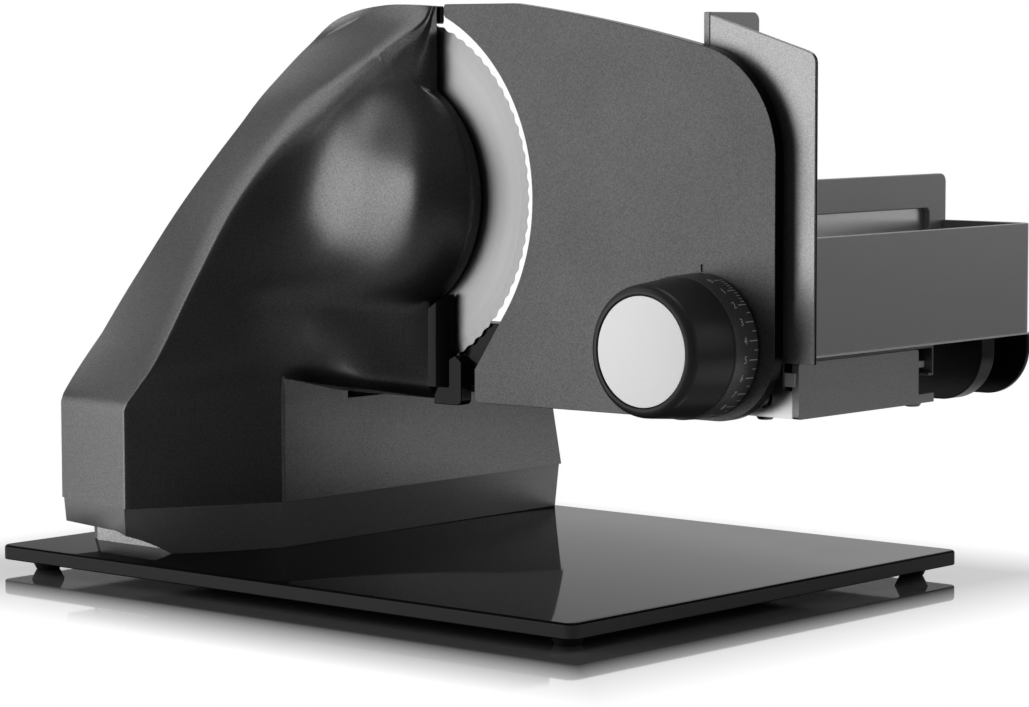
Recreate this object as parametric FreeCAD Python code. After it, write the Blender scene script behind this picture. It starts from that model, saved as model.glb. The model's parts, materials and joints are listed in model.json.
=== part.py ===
import FreeCAD, Part
import math
import os

# Table-top food slicer with a round blade, an adjustable stop plate and a
# sliding food carriage on a glass base plate.
# Every piece is drawn about the centre of the blade: X runs towards the
# operator, Y from the motor side to the food side, Z up. save() moves it so
# that the origin is at the bottom centre of the whole machine.

# Heights
BLADE_AXIS_HEIGHT = 180.0
RUBBER_FOOT_HEIGHT = 5.0
GLASS_THICKNESS = 7.0
PAN_HEIGHT = 22.0
SADDLE_HEIGHT = 3.6

# Glass base plate
GLASS_LENGTH = 360.0
GLASS_WIDTH = 283.0
GLASS_LEFT_OF_BLADE = 146.0
GLASS_NEAR_OF_BLADE = 121.5
GLASS_CORNER = 5.0
FOOT_RADIUS_TOP = 8.0
FOOT_RADIUS_BOTTOM = 5.5
FOOT_INSET = 16.0

# Clearances
RUN_GAP = 0.3
SHAFT_GAP = 0.05
BLADE_GAP = 1.0

# Blade
BLADE_DIAMETER = 170.0
BLADE_THICKNESS = 1.2
BLADE_EDGE_THICKNESS = 0.4
BLADE_BEVEL = 9.0
SCALLOP_COUNT = 90
SCALLOP_DEPTH = 0.7
BLADE_BORE = 16.0
LOCK_DIAMETER = 44.0
LOCK_THICKNESS = 2.0

# Housing
HOUSING_WALL = 3.0
HOUSING_FOOT_LEFT = -128.5
HOUSING_FOOT_RIGHT = -32.5
HOUSING_FAR_MARGIN = 1.0
HOUSING_FAR_DRAFT = 11.0
HOUSING_EDGE_X = 31.0
HOUSING_BLADE_FACE = -3.0
HOUSING_FOOD_FACE = 1.5
RIM_RADIUS = 58.3
RIM_LIP = 5.0
DOME_DEPTH = 35.0
GUARD_RING_RADIUS = 88.0
CREST_LENGTH = 7.0
CREST_HEIGHT = 186.6

# Stop plate
STOP_FACE_Y = -5.0
STOP_THICKNESS = 6.0
STOP_RIGHT = 230.0
STOP_TOP = 89.3
STOP_BOTTOM = -95.0
STOP_ARC_RADIUS = 91.5
STOP_TRAVEL = 21.0

# Thickness dial
DIAL_X = 190.0
DIAL_Z = -61.5
DIAL_LENGTH = 42.5
DIAL_RING_RADIUS = 32.0
DIAL_GRIP_RADIUS = 29.0
DIAL_CAP_RADIUS = 24.5
DIAL_CAVITY_RADIUS = 26.0
DIAL_RING_LENGTH = 16.0
DIAL_DEGREES_PER_MM = 15.5
DRUM_RADIUS = 18.0
GROOVE_DEPTH = 2.6
GROOVE_WIDTH = 4.0
SPINDLE_RADIUS = 5.0

# Rail under the carriage
RAIL_NEAR = 10.0
RAIL_FAR = 98.0
RAIL_TOP = -67.5
RAIL_BOTTOM = -91.2
RAIL_LEFT = -122.0
RAIL_RIGHT = 229.5
RAIL_WALL = 2.0
RAIL_SHEET = 1.2
RAIL_SHEET_TOP = -80.2
END_CAP_THICKNESS = 3.5
ROD_RADIUS = 3.5
ROD_LENGTH = 66.0
ROD_Z = -84.0
ROD_PLACES = (84.0, 214.0)

# Carriage
GUARD_NEAR = 4.0
SHEET = 2.0
PUSHER_X = 187.0
PUSHER_THICKNESS = 3.5
GUARD_RIGHT = 244.5
FRONT_WALL_X = 237.0
CARRIAGE_FAR = 188.0
TRAY_LEFT = 40.0
TRAY_TOP = -65.0
TRAY_SHEET = 1.0
CHANNEL_SHEET = 1.2
CHANNEL_LEFT = 95.0
CHANNEL_RIGHT = 235.4
CARRIAGE_TRAVEL = 195.0

# Drive
GEAR_MODULE = 1.25
PRESSURE_ANGLE = 25.0
BLADE_GEAR_TEETH = 72
IDLER_PINION_TEETH = 12
IDLER_WHEEL_TEETH = 46
ROTOR_PINION_TEETH = 12
BACKLASH = 0.24
IDLER_ANGLE = 216.9
ROTOR_ANGLE = 228.0
GEAR_PLATE_Y = -25.0
GEAR_PLATE_THICKNESS = 3.5
MOTOR_RADIUS = 25.0

# Levels and places that follow from the sizes above
Z_TABLE = -BLADE_AXIS_HEIGHT
Z_GLASS = Z_TABLE + RUBBER_FOOT_HEIGHT
Z_PAN = Z_GLASS + GLASS_THICKNESS
Z_SEAM = Z_PAN + PAN_HEIGHT
Z_FOOT_TOP = RAIL_BOTTOM - RAIL_SHEET - SADDLE_HEIGHT
GLASS_X0 = -GLASS_LEFT_OF_BLADE
GLASS_X1 = GLASS_X0 + GLASS_LENGTH
GLASS_Y0 = -GLASS_NEAR_OF_BLADE
GLASS_Y1 = GLASS_Y0 + GLASS_WIDTH
BLADE_RADIUS = BLADE_DIAMETER / 2
RECESS_RADIUS = BLADE_RADIUS + BLADE_GAP
HOUSING_FAR = GLASS_Y1 - HOUSING_FAR_MARGIN
ORIGIN_X = (GLASS_X0 + max(GUARD_RIGHT, GLASS_X1)) / 2
ORIGIN_Y = (GLASS_Y0 + max(CARRIAGE_FAR, GLASS_Y1)) / 2
STOP_BACK_Y = STOP_FACE_Y + STOP_THICKNESS
DIAL_FRONT_Y = STOP_FACE_Y - DIAL_LENGTH
TRAY_UNDER = TRAY_TOP - TRAY_SHEET

# The tower's near face leans back at a steady slope; its ridge and shoulder don't.
# Height above the foot, ridge X, yaw of the near face, shoulder X and Y, edge Y
RIDGE_FOOT_Y = -108.8
SHOULDER_FOOT_Y = -41.0
NEAR_FACE_SLOPE = 0.557
TOWER_LEVELS = (
    (-2.0, -72.6, 0.20, HOUSING_FOOT_RIGHT, SHOULDER_FOOT_Y, -10.0),
    (56.0, -63.8, 0.17, -14.0, -42.0, -15.0),
    (96.0, -46.6, 0.11, -4.0, -37.5, -29.5),
    (136.0, -15.7, 0.04, 8.0, -25.5, -15.0),
    (158.0, 10.9, 0.0, 21.0, -14.5, -8.6),
    (177.0, HOUSING_EDGE_X - 3.0, 0.0, HOUSING_EDGE_X - 1.5, -8.8, -8.4),
    (188.0, HOUSING_EDGE_X - 3.0, 0.0, HOUSING_EDGE_X - 1.5, -3.0, -2.9),
)


def vec(x, y, z):
    return FreeCAD.Vector(x, y, z)


def box(x0, x1, y0, y1, z0, z1):
    return Part.makeBox(x1 - x0, y1 - y0, z1 - z0, vec(x0, y0, z0))


def cyl_x(radius, x0, x1, y, z):
    return Part.makeCylinder(radius, x1 - x0, vec(x0, y, z), vec(1, 0, 0))


def cyl_y(radius, y0, y1, x=0.0, z=0.0):
    return Part.makeCylinder(radius, y1 - y0, vec(x, y0, z), vec(0, 1, 0))


def cyl_z(radius, z0, z1, x, y):
    return Part.makeCylinder(radius, z1 - z0, vec(x, y, z0), vec(0, 0, 1))


def ring_y(outer, inner, y0, y1, x=0.0, z=0.0):
    return cyl_y(outer, y0, y1, x, z).cut(cyl_y(inner, y0 - 1, y1 + 1, x, z))


def polygon(points):
    return Part.makePolygon(list(points) + [points[0]])


def prism_x(points_yz, x0, x1):
    face = Part.Face(polygon([vec(x0, y, z) for y, z in points_yz]))
    return face.extrude(vec(x1 - x0, 0, 0))


def prism_y(points_xz, y0, y1):
    face = Part.Face(polygon([vec(x, y0, z) for x, z in points_xz]))
    return face.extrude(vec(0, y1 - y0, 0))


def prism_z(points_xy, z0, z1):
    face = Part.Face(polygon([vec(x, y, z0) for x, y in points_xy]))
    return face.extrude(vec(0, 0, z1 - z0))


def fuse_all(shapes):
    return shapes[0].fuse(shapes[1:]).removeSplitter()


def edges_along(shape, axis, test=None):
    """Straight edges of a shape that run along one axis and pass the test."""
    found = []
    for edge in shape.Edges:
        if len(edge.Vertexes) != 2 or edge.Curve.TypeId != "Part::GeomLine":
            continue
        run = edge.Vertexes[1].Point - edge.Vertexes[0].Point
        run.normalize()
        if abs(abs(run.dot(axis)) - 1) > 1e-6:
            continue
        if test is None or test(edge.CenterOfMass):
            found.append(edge)
    return found


def round_along(shape, axis, radius, test=None):
    return shape.makeFillet(radius, edges_along(shape, axis, test))


def turned(points_ry, x=0.0, z=0.0):
    """Solid of revolution about the Y axis from points of radius and Y."""
    face = Part.Face(polygon([vec(r, y, 0) for r, y in points_ry]))
    solid = face.revolve(vec(0, 0, 0), vec(0, 1, 0), 360)
    solid.translate(vec(x, 0, z))
    return solid


def inset(points, depth):
    """Corners of a plan drawn anticlockwise, moved inwards by a depth."""
    count = len(points)
    lines = []
    for i in range(count):
        (ax, ay), (bx, by) = points[i], points[(i + 1) % count]
        length = math.hypot(bx - ax, by - ay)
        nx, ny = -(by - ay) / length, (bx - ax) / length
        lines.append((nx, ny, nx * ax + ny * ay + depth))
    moved = []
    for i in range(count):
        n1x, n1y, d1 = lines[i - 1]
        n2x, n2y, d2 = lines[i]
        det = n1x * n2y - n1y * n2x
        moved.append(((d1 * n2y - d2 * n1y) / det, (n1x * d2 - n2x * d1) / det))
    return moved


def save(name, shape):
    """Write one piece, moved to the machine's own origin."""
    placed = shape.copy()
    placed.translate(vec(-ORIGIN_X, -ORIGIN_Y, -Z_TABLE))
    placed.exportStep("parts/" + name + ".step")
    print(name, len(placed.Solids), round(placed.Volume / 1000, 2), placed.isValid())


def glass_base():
    plate = box(GLASS_X0, GLASS_X1, GLASS_Y0, GLASS_Y1, Z_GLASS, Z_PAN)
    plate = round_along(plate, vec(0, 0, 1), GLASS_CORNER)
    rims = [e for e in plate.Edges if abs(e.CenterOfMass.z - Z_PAN) < 0.01]
    return plate.makeChamfer(0.8, rims)


def rubber_feet():
    feet = []
    for x in (GLASS_X0 + FOOT_INSET, GLASS_X1 - FOOT_INSET):
        for y in (GLASS_Y0 + FOOT_INSET, GLASS_Y1 - FOOT_INSET):
            feet.append(Part.makeCone(FOOT_RADIUS_BOTTOM, FOOT_RADIUS_TOP,
                                      RUBBER_FOOT_HEIGHT, vec(x, y, Z_TABLE)))
    return Part.makeCompound(feet)


def ridge_y(height):
    return RIDGE_FOOT_Y + NEAR_FACE_SLOPE * (height - TOWER_LEVELS[0][0])


def foot_wire(z, far, skin):
    """Plan of the housing's foot at a height, drawn in by a skin."""
    left, right = HOUSING_FOOT_LEFT, HOUSING_FOOT_RIGHT
    low, ridge_x, yaw, shoulder_x, shoulder_y, edge_y = TOWER_LEVELS[0]
    ridge = (ridge_x, ridge_y(low))
    near = (left, ridge[1] + yaw * (ridge_x - left))
    bulge = ((ridge_x + right) / 2 + 2, (ridge[1] + shoulder_y) / 2 - 6)
    plan = inset([(left, far), near, ridge, bulge, (right, shoulder_y), (right, far)], skin)
    p = [vec(x, y, z) for x, y in plan]
    edges = [Part.LineSegment(p[0], p[1]), Part.LineSegment(p[1], p[2]),
             Part.Arc(p[2], p[3], p[4]), Part.LineSegment(p[4], p[5]),
             Part.LineSegment(p[5], p[0])]
    return Part.Wire([e.toShape() for e in edges])


def foot_block(z0, z1, skin):
    """Foot of the housing, whose far end leans inwards going up."""
    lean = HOUSING_FAR_DRAFT / (Z_FOOT_TOP - Z_SEAM)
    wires = [foot_wire(z, HOUSING_FAR - max(0.0, z - Z_SEAM) * lean, skin)
             for z in (z0, z1)]
    return Part.makeLoft(wires, True, True)


def side_profile(skin):
    """Side view of the tower: leaning back, rounded top, upright blade edge."""
    left, edge = HOUSING_FOOT_LEFT, HOUSING_EDGE_X
    low = Z_FOOT_TOP - 2 - skin
    high = low + skin + CREST_HEIGHT
    start = -150.0
    a, b = vec(left, start, low), vec(left, start, Z_FOOT_TOP)
    c, d = vec(left + 7.5, start, Z_FOOT_TOP + 15), vec(left + 71, start, high - 31)
    e, f = vec(left + 94.5, start, high - 9), vec(edge - 23, start, high + 0.9)
    g, h = vec(edge, start, high), vec(edge, start, low)
    edges = [Part.LineSegment(a, b), Part.LineSegment(b, c), Part.LineSegment(c, d),
             Part.Arc(d, e, f), Part.LineSegment(f, g), Part.LineSegment(g, h),
             Part.LineSegment(h, a)]
    wire = Part.Wire([s.toShape() for s in edges])
    if skin > 0:
        wire = wire.makeOffset2D(-skin)
    return Part.Face(wire).extrude(vec(0, 160, 0))


def tower_wire(level, skin):
    """Plan of the tower at one of its levels, drawn in by a skin."""
    height, ridge_x, yaw, shoulder_x, shoulder_y, edge_y = level
    left, far = HOUSING_FOOT_LEFT - 5, 40.0
    near = ridge_y(height) + yaw * (ridge_x - left)
    plan = inset([(left, near), (ridge_x, ridge_y(height)), (shoulder_x, shoulder_y),
                  (HOUSING_EDGE_X, edge_y), (HOUSING_EDGE_X, far), (left, far)], skin)
    return polygon([vec(x, y, Z_FOOT_TOP + height) for x, y in plan])


def tower_block(skin):
    """Leaning tower; its hollow stops short of the solid crown."""
    levels = TOWER_LEVELS if skin == 0 else TOWER_LEVELS[:-2]
    back = HOUSING_FOOD_FACE if skin == 0 else HOUSING_BLADE_FACE - skin
    loft = Part.makeLoft([tower_wire(level, skin) for level in levels], True, skin > 0)
    space = box(-200, 50, -150, back, -150, 150)
    return loft.common(side_profile(skin)).common(space)


def dome_block(skin):
    """Dome over the middle of the blade, with an upright lip at its rim."""
    rim, face = RIM_RADIUS - skin, HOUSING_BLADE_FACE - skin
    lip, top = HOUSING_BLADE_FACE - RIM_LIP, HOUSING_BLADE_FACE - DOME_DEPTH + skin
    rise = lip - top
    sphere = (rim * rim + rise * rise) / (2 * rise)
    half = math.asin(rim / sphere) / 2
    middle = vec(sphere * math.sin(half), top + sphere * (1 - math.cos(half)), 0)
    edges = [Part.LineSegment(vec(0, face, 0), vec(rim, face, 0)),
             Part.LineSegment(vec(rim, face, 0), vec(rim, lip, 0)),
             Part.Arc(vec(rim, lip, 0), middle, vec(0, top, 0)),
             Part.LineSegment(vec(0, top, 0), vec(0, face, 0))]
    profile = Part.Face(Part.Wire([e.toShape() for e in edges]))
    return profile.revolve(vec(0, 0, 0), vec(0, 1, 0), 360)


def underside(lift):
    """What is cut away below the part of the tower that overhangs the foot."""
    low = Z_FOOT_TOP - 5
    far = HOUSING_FOOD_FACE + 5
    line = [(-125.0, low), (-125.0, Z_FOOT_TOP + 28 + lift),
            (SHOULDER_FOOT_Y, Z_FOOT_TOP + 9 + lift),
            (HOUSING_BLADE_FACE, Z_FOOT_TOP + 0.5 + lift), (far, Z_FOOT_TOP - 1 + lift),
            (far, low)]
    return prism_x(line, HOUSING_FOOT_RIGHT - lift, RIM_RADIUS + 20)


PAN_BOSSES = ((-116.0, -60.0), (-46.0, -20.0), (-116.0, 135.0), (-46.0, 135.0))
BOSS_RADIUS = 5.0
SCREW_RADIUS = 2.0
SCREW_HEAD = 4.0
SCREW_HEAD_HEIGHT = 2.0
PAN_FLOOR = 3.0
SWITCH_Y = -20.0
SWITCH_Z = (Z_SEAM + Z_FOOT_TOP) / 2
SWITCH_WIDTH = 30.0
SWITCH_HEIGHT = 20.0
GLAND_Y = 110.0
GLAND_Z = Z_SEAM + 18.0
GLAND_RADIUS = 6.0
HUB_HOLE_RADIUS = 20.0


def housing_shell():
    """Whole cast shell: foot, leaning tower and dome, hollow inside."""
    ring = cyl_y(GUARD_RING_RADIUS, HOUSING_BLADE_FACE - 3, HOUSING_FOOD_FACE)
    ring = ring.common(box(-GUARD_RING_RADIUS, HOUSING_EDGE_X, -10, 10,
                           -0.7 * GUARD_RING_RADIUS, GUARD_RING_RADIUS))
    outer = foot_block(Z_SEAM, Z_FOOT_TOP, 0).fuse([tower_block(0), dome_block(0), ring])
    crown = Z_FOOT_TOP - 2 + CREST_HEIGHT
    crest = box(HOUSING_EDGE_X, HOUSING_EDGE_X + CREST_LENGTH, HOUSING_BLADE_FACE,
                HOUSING_FOOD_FACE, crown - 13.6, crown - 1.1)
    outer = outer.cut(underside(0)).fuse(crest).removeSplitter()
    outer = outer.cut(cyl_y(RECESS_RADIUS, HOUSING_BLADE_FACE, HOUSING_FOOD_FACE + 5))
    skin = HOUSING_WALL
    inner = tower_block(skin).fuse(dome_block(skin)).cut(underside(skin))
    inner = inner.fuse(foot_block(Z_SEAM - 1, Z_FOOT_TOP - skin, skin))
    return outer.cut(inner).cut(cyl_y(HUB_HOLE_RADIUS, -8, 0))


WIRE_HOLE = (-105.0, -55.0)


def above_foot():
    """Space above the foot's deck, where the tower stands."""
    return box(-200, 200, -200, 200, Z_FOOT_TOP, Z_FOOT_TOP + 300)


def housing_tower():
    return housing_shell().common(above_foot())


def housing_foot():
    """Foot of the housing with its deck, screw bosses and openings."""
    shell = housing_shell().cut(above_foot())
    skin, left = HOUSING_WALL, HOUSING_FOOT_LEFT
    shell = shell.cut(box(left - 2, left + skin + 2, SWITCH_Y - SWITCH_WIDTH / 2,
                          SWITCH_Y + SWITCH_WIDTH / 2, SWITCH_Z - SWITCH_HEIGHT / 2,
                          SWITCH_Z + SWITCH_HEIGHT / 2))
    shell = shell.cut(cyl_x(GLAND_RADIUS, left - 2, left + skin + 2, GLAND_Y, GLAND_Z))
    for x, y in PAN_BOSSES:
        shell = shell.fuse(cyl_z(BOSS_RADIUS, Z_PAN + PAN_FLOOR, Z_FOOT_TOP - skin, x, y))
    for x, y in PAN_BOSSES:
        shell = shell.cut(cyl_z(SCREW_RADIUS + SHAFT_GAP, Z_PAN, Z_SEAM, x, y))
    for x, y in RAIL_BOLTS:
        shell = shell.cut(cyl_z(BOLT_RADIUS + SHAFT_GAP, Z_FOOT_TOP - 5, Z_FOOT_TOP + 1, x, y))
    shell = shell.cut(cyl_z(8.0, Z_FOOT_TOP - 5, Z_FOOT_TOP + 1, WIRE_HOLE[0], WIRE_HOLE[1]))
    return shell.removeSplitter()


PAN_STEP = 0.8
ARCH_DEPTH = 30.0
ARCH_HEIGHT = 10.5


def base_pan():
    """Lower tray of the foot, with an arched hollow under its near end."""
    outer = Part.makeLoft([foot_wire(Z_PAN, HOUSING_FAR, PAN_STEP + 1.5),
                           foot_wire(Z_SEAM, HOUSING_FAR, PAN_STEP)], True, True)
    near = RIDGE_FOOT_Y + ARCH_DEPTH
    hollow = foot_block(Z_PAN + PAN_FLOOR, Z_SEAM + 1, HOUSING_WALL + PAN_STEP)
    hollow = hollow.common(box(-200, 50, near + 5, 200, Z_PAN, Z_SEAM + 1))
    top = Z_PAN + ARCH_HEIGHT
    y0 = -130.0
    a, b, c = vec(-150, y0, Z_PAN - 1), vec(-150, y0, top), vec(-86, y0, top)
    d, e, f = vec(-70, y0, top - 3), vec(-60, y0, Z_PAN), vec(-60, y0, Z_PAN - 1)
    edges = [Part.LineSegment(a, b), Part.LineSegment(b, c), Part.Arc(c, d, e),
             Part.LineSegment(e, f), Part.LineSegment(f, a)]
    arch = Part.Face(Part.Wire([s.toShape() for s in edges]))
    arch = arch.extrude(vec(0, near - y0, 0))
    pan = outer.cut(hollow).cut(arch)
    for x, y in PAN_BOSSES:
        pan = pan.cut(cyl_z(SCREW_HEAD + 0.2, Z_PAN - 1, Z_PAN + SCREW_HEAD_HEIGHT, x, y))
        pan = pan.cut(cyl_z(SCREW_RADIUS + SHAFT_GAP, Z_PAN, Z_SEAM, x, y))
    return pan


def recess_panel():
    """Pale plate that closes the back of the arched hollow."""
    near = RIDGE_FOOT_Y + ARCH_DEPTH
    plate = box(-122.0, -64.0, near - 2, near, Z_PAN, Z_PAN + ARCH_HEIGHT - 0.2)
    arch = base_pan()
    return plate.cut(arch)


def pan_screws():
    screws = []
    for x, y in PAN_BOSSES:
        head = cyl_z(SCREW_HEAD, Z_PAN + 0.2, Z_PAN + SCREW_HEAD_HEIGHT, x, y)
        stem = cyl_z(SCREW_RADIUS, Z_PAN + SCREW_HEAD_HEIGHT, Z_PAN + 14, x, y)
        screws.append(head.fuse(stem))
    return Part.makeCompound(screws)


RAIL_BOLTS = ((-105.0, 30.0), (-55.0, 30.0), (-105.0, 80.0), (-55.0, 80.0))
BOLT_RADIUS = 2.5
BOLT_HEAD = 4.5
BOLT_HEAD_HEIGHT = 3.0


def rail_saddle():
    """Raised pad between the foot's top and the rail."""
    pad = box(RAIL_LEFT + 4, HOUSING_FOOT_RIGHT - 3, RAIL_NEAR + 6, RAIL_FAR - 6,
              Z_FOOT_TOP, RAIL_BOTTOM - RAIL_SHEET)
    pad = round_along(pad, vec(0, 0, 1), 6)
    for x, y in RAIL_BOLTS:
        pad = pad.cut(cyl_z(BOLT_RADIUS + SHAFT_GAP, Z_FOOT_TOP - 1, RAIL_BOTTOM, x, y))
    return pad


def hexagon(radius, z0, z1, x, y):
    """Upright six-sided prism, as of a nut or a bolt's head."""
    corners = []
    for i in range(6):
        angle = math.radians(60 * i)
        corners.append((x + radius * math.cos(angle), y + radius * math.sin(angle)))
    return prism_z(corners, z0, z1)


def rail_bolts():
    """Bolts that hold the rail, put in from inside the foot."""
    bolts = []
    under = Z_FOOT_TOP - HOUSING_WALL
    for x, y in RAIL_BOLTS:
        head = hexagon(BOLT_HEAD, under - BOLT_HEAD_HEIGHT, under, x, y)
        stem = cyl_z(BOLT_RADIUS, under, RAIL_BOTTOM + RAIL_WALL, x, y)
        nut = hexagon(BOLT_HEAD, RAIL_BOTTOM + RAIL_WALL,
                      RAIL_BOTTOM + RAIL_WALL + BOLT_HEAD_HEIGHT, x, y)
        bolts.append(head.fuse([stem, nut]))
    return Part.makeCompound(bolts)


def rail_base():
    """Bottom bar of the hollow rail, bolted to the foot."""
    base = box(RAIL_LEFT, RAIL_RIGHT, RAIL_NEAR, RAIL_FAR, RAIL_BOTTOM, RAIL_BOTTOM + RAIL_WALL)
    for x, y in RAIL_BOLTS:
        base = base.cut(cyl_z(BOLT_RADIUS + SHAFT_GAP, RAIL_BOTTOM - 1,
                              RAIL_BOTTOM + RAIL_WALL + 1, x, y))
    return base


def rail_sides():
    """Upright bars of the rail; the near one lets the rods and the follower arm through."""
    w = RAIL_WALL
    low, high = RAIL_BOTTOM + w, RAIL_TOP - w
    near = box(RAIL_LEFT, RAIL_RIGHT, RAIL_NEAR, RAIL_NEAR + w, low, high)
    for x in ROD_PLACES:
        near = near.cut(cyl_y(ROD_RADIUS + 1, RAIL_NEAR - 1, RAIL_NEAR + w + 1, x, ROD_Z))
    arm = ARM_HALF_WIDTH + 0.3
    near = near.cut(box(DIAL_X - arm, DIAL_X + arm, RAIL_NEAR - 1, RAIL_NEAR + w + 1,
                        ARM_LOW - 0.3, ARM_HIGH + 0.3))
    far = box(RAIL_LEFT, RAIL_RIGHT, RAIL_FAR - w, RAIL_FAR, low, high)
    return Part.makeCompound([near, far])


def rail_cover():
    """Top bar of the rail, under the sliding tray."""
    return box(RAIL_LEFT, RAIL_RIGHT, RAIL_NEAR, RAIL_FAR, RAIL_TOP - RAIL_WALL, RAIL_TOP)


RAIL_LEDGE = 13.5
RAIL_LEDGE_HEIGHT = 3.0


def rail_sheet():
    """Bright steel trough folded round the lower half of the rail."""
    t = RAIL_SHEET
    near, far, low = RAIL_NEAR - t, RAIL_FAR + t, RAIL_BOTTOM - t
    ledge = far + RAIL_LEDGE
    section = [(near, RAIL_SHEET_TOP), (near, low), (ledge, low),
               (ledge, low + RAIL_LEDGE_HEIGHT), (ledge - t, low + RAIL_LEDGE_HEIGHT),
               (ledge - t, RAIL_BOTTOM), (far, RAIL_BOTTOM), (far, RAIL_SHEET_TOP),
               (RAIL_FAR, RAIL_SHEET_TOP), (RAIL_FAR, RAIL_BOTTOM),
               (RAIL_NEAR, RAIL_BOTTOM), (RAIL_NEAR, RAIL_SHEET_TOP)]
    sheet = prism_x(section, RAIL_LEFT, RAIL_RIGHT)
    for x in ROD_PLACES:
        sheet = sheet.cut(cyl_y(ROD_RADIUS + 1, near - 1, RAIL_NEAR + 1, x, ROD_Z))
    arm = ARM_HALF_WIDTH + 0.3
    sheet = sheet.cut(box(DIAL_X - arm, DIAL_X + arm, near - 1, RAIL_NEAR + 0.5,
                          ARM_LOW - 0.3, ARM_HIGH + 0.3))
    for x, y in RAIL_BOLTS:
        sheet = sheet.cut(cyl_z(BOLT_RADIUS + SHAFT_GAP, low - 1, RAIL_BOTTOM + 1, x, y))
    return sheet


def rail_end_cap():
    low = RAIL_BOTTOM - RAIL_SHEET - 0.2
    near, far = RAIL_NEAR - 1.5, RAIL_FAR + 1.5
    cap = box(RAIL_RIGHT, RAIL_RIGHT + END_CAP_THICKNESS, near, far, low, RAIL_TOP - 0.3)
    cap = round_along(cap, vec(1, 0, 0), 1.5)
    ear = box(RAIL_RIGHT, RAIL_RIGHT + END_CAP_THICKNESS - 1, far - 2,
              RAIL_FAR + RAIL_SHEET + RAIL_LEDGE + 0.5, low, low + RAIL_LEDGE_HEIGHT + 1)
    return cap.fuse(ear).removeSplitter()


def rail_studs():
    """Round-headed screws under the free end of the rail."""
    studs = []
    low = RAIL_BOTTOM - RAIL_SHEET
    for x, y in ((RAIL_RIGHT - 22.5, RAIL_NEAR + 9), (RAIL_RIGHT - 5.0, RAIL_FAR + 9)):
        head = Part.makeCone(3.2, 4.8, 2.4, vec(x, y, low - 2.4))
        studs.append(head)
    return Part.makeCompound(studs)


STRIP_THICKNESS = 2.4
STRIP_FAR_THICKNESS = 8.3
STRIP_LOW = -78.3
STRIP_HIGH = -72.3
STRIP_FAR_LOW = -76.4
STRIP_FAR_HIGH = -73.4
STRIP_OVERHANG = 2.0


def glide_strips():
    """White low-friction strips on both sides of the rail."""
    right = RAIL_RIGHT + STRIP_OVERHANG
    near = box(RAIL_LEFT, right, RAIL_NEAR - STRIP_THICKNESS, RAIL_NEAR, STRIP_LOW, STRIP_HIGH)
    near = near.cut(box(RAIL_RIGHT, right + 1, RAIL_NEAR - 1.5, RAIL_NEAR + 1, STRIP_LOW - 1,
                        STRIP_HIGH + 1))
    far = box(RAIL_LEFT, right, RAIL_FAR, RAIL_FAR + STRIP_FAR_THICKNESS,
              STRIP_FAR_LOW, STRIP_FAR_HIGH)
    far = far.cut(box(RAIL_RIGHT, right + 1, RAIL_FAR - 1, RAIL_FAR + 1.5, STRIP_LOW - 1,
                      STRIP_HIGH + 1))
    return Part.makeCompound([near, far])


BLOCK_LENGTH = 40.0
ARM_HALF_WIDTH = 4.0
ARM_LOW = DIAL_Z - DIAL_CAVITY_RADIUS + 1.0
ARM_HIGH = DIAL_Z - DRUM_RADIUS - 1.5
PIN_LOCAL_Y = -33.0
PIN_RADIUS = GROOVE_WIDTH / 2 - 0.2


def guide_blocks():
    """Two plain bearing blocks inside the rail for the stop plate's rods."""
    blocks = []
    y0 = RAIL_NEAR + RAIL_WALL
    low = RAIL_BOTTOM + RAIL_WALL
    for x in ROD_PLACES:
        block = box(x - 8, x + 8, y0, y0 + BLOCK_LENGTH, low, ROD_Z + 8)
        blocks.append(block.cut(cyl_y(ROD_RADIUS + SHAFT_GAP, y0 - 1, y0 + BLOCK_LENGTH + 1,
                                      x, ROD_Z)))
    return Part.makeCompound(blocks)


def follower_arm():
    """Fixed arm whose pin runs in the spiral groove of the dial's drum."""
    y0, y1 = PIN_LOCAL_Y - 3, RAIL_NEAR + RAIL_WALL + 12
    arm = box(DIAL_X - ARM_HALF_WIDTH, DIAL_X + ARM_HALF_WIDTH, y0, y1, ARM_LOW, ARM_HIGH)
    arm = round_along(arm, vec(0, 1, 0), 1.2)
    pin = cyl_z(PIN_RADIUS, ARM_HIGH - 1, DIAL_Z - DRUM_RADIUS + GROOVE_DEPTH - 0.4,
                DIAL_X, PIN_LOCAL_Y)
    base = box(DIAL_X - 9, DIAL_X + 9, RAIL_NEAR + RAIL_WALL, y1,
               RAIL_BOTTOM + RAIL_WALL, ARM_HIGH + 3)
    return arm.fuse([pin, base]).removeSplitter()


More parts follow.
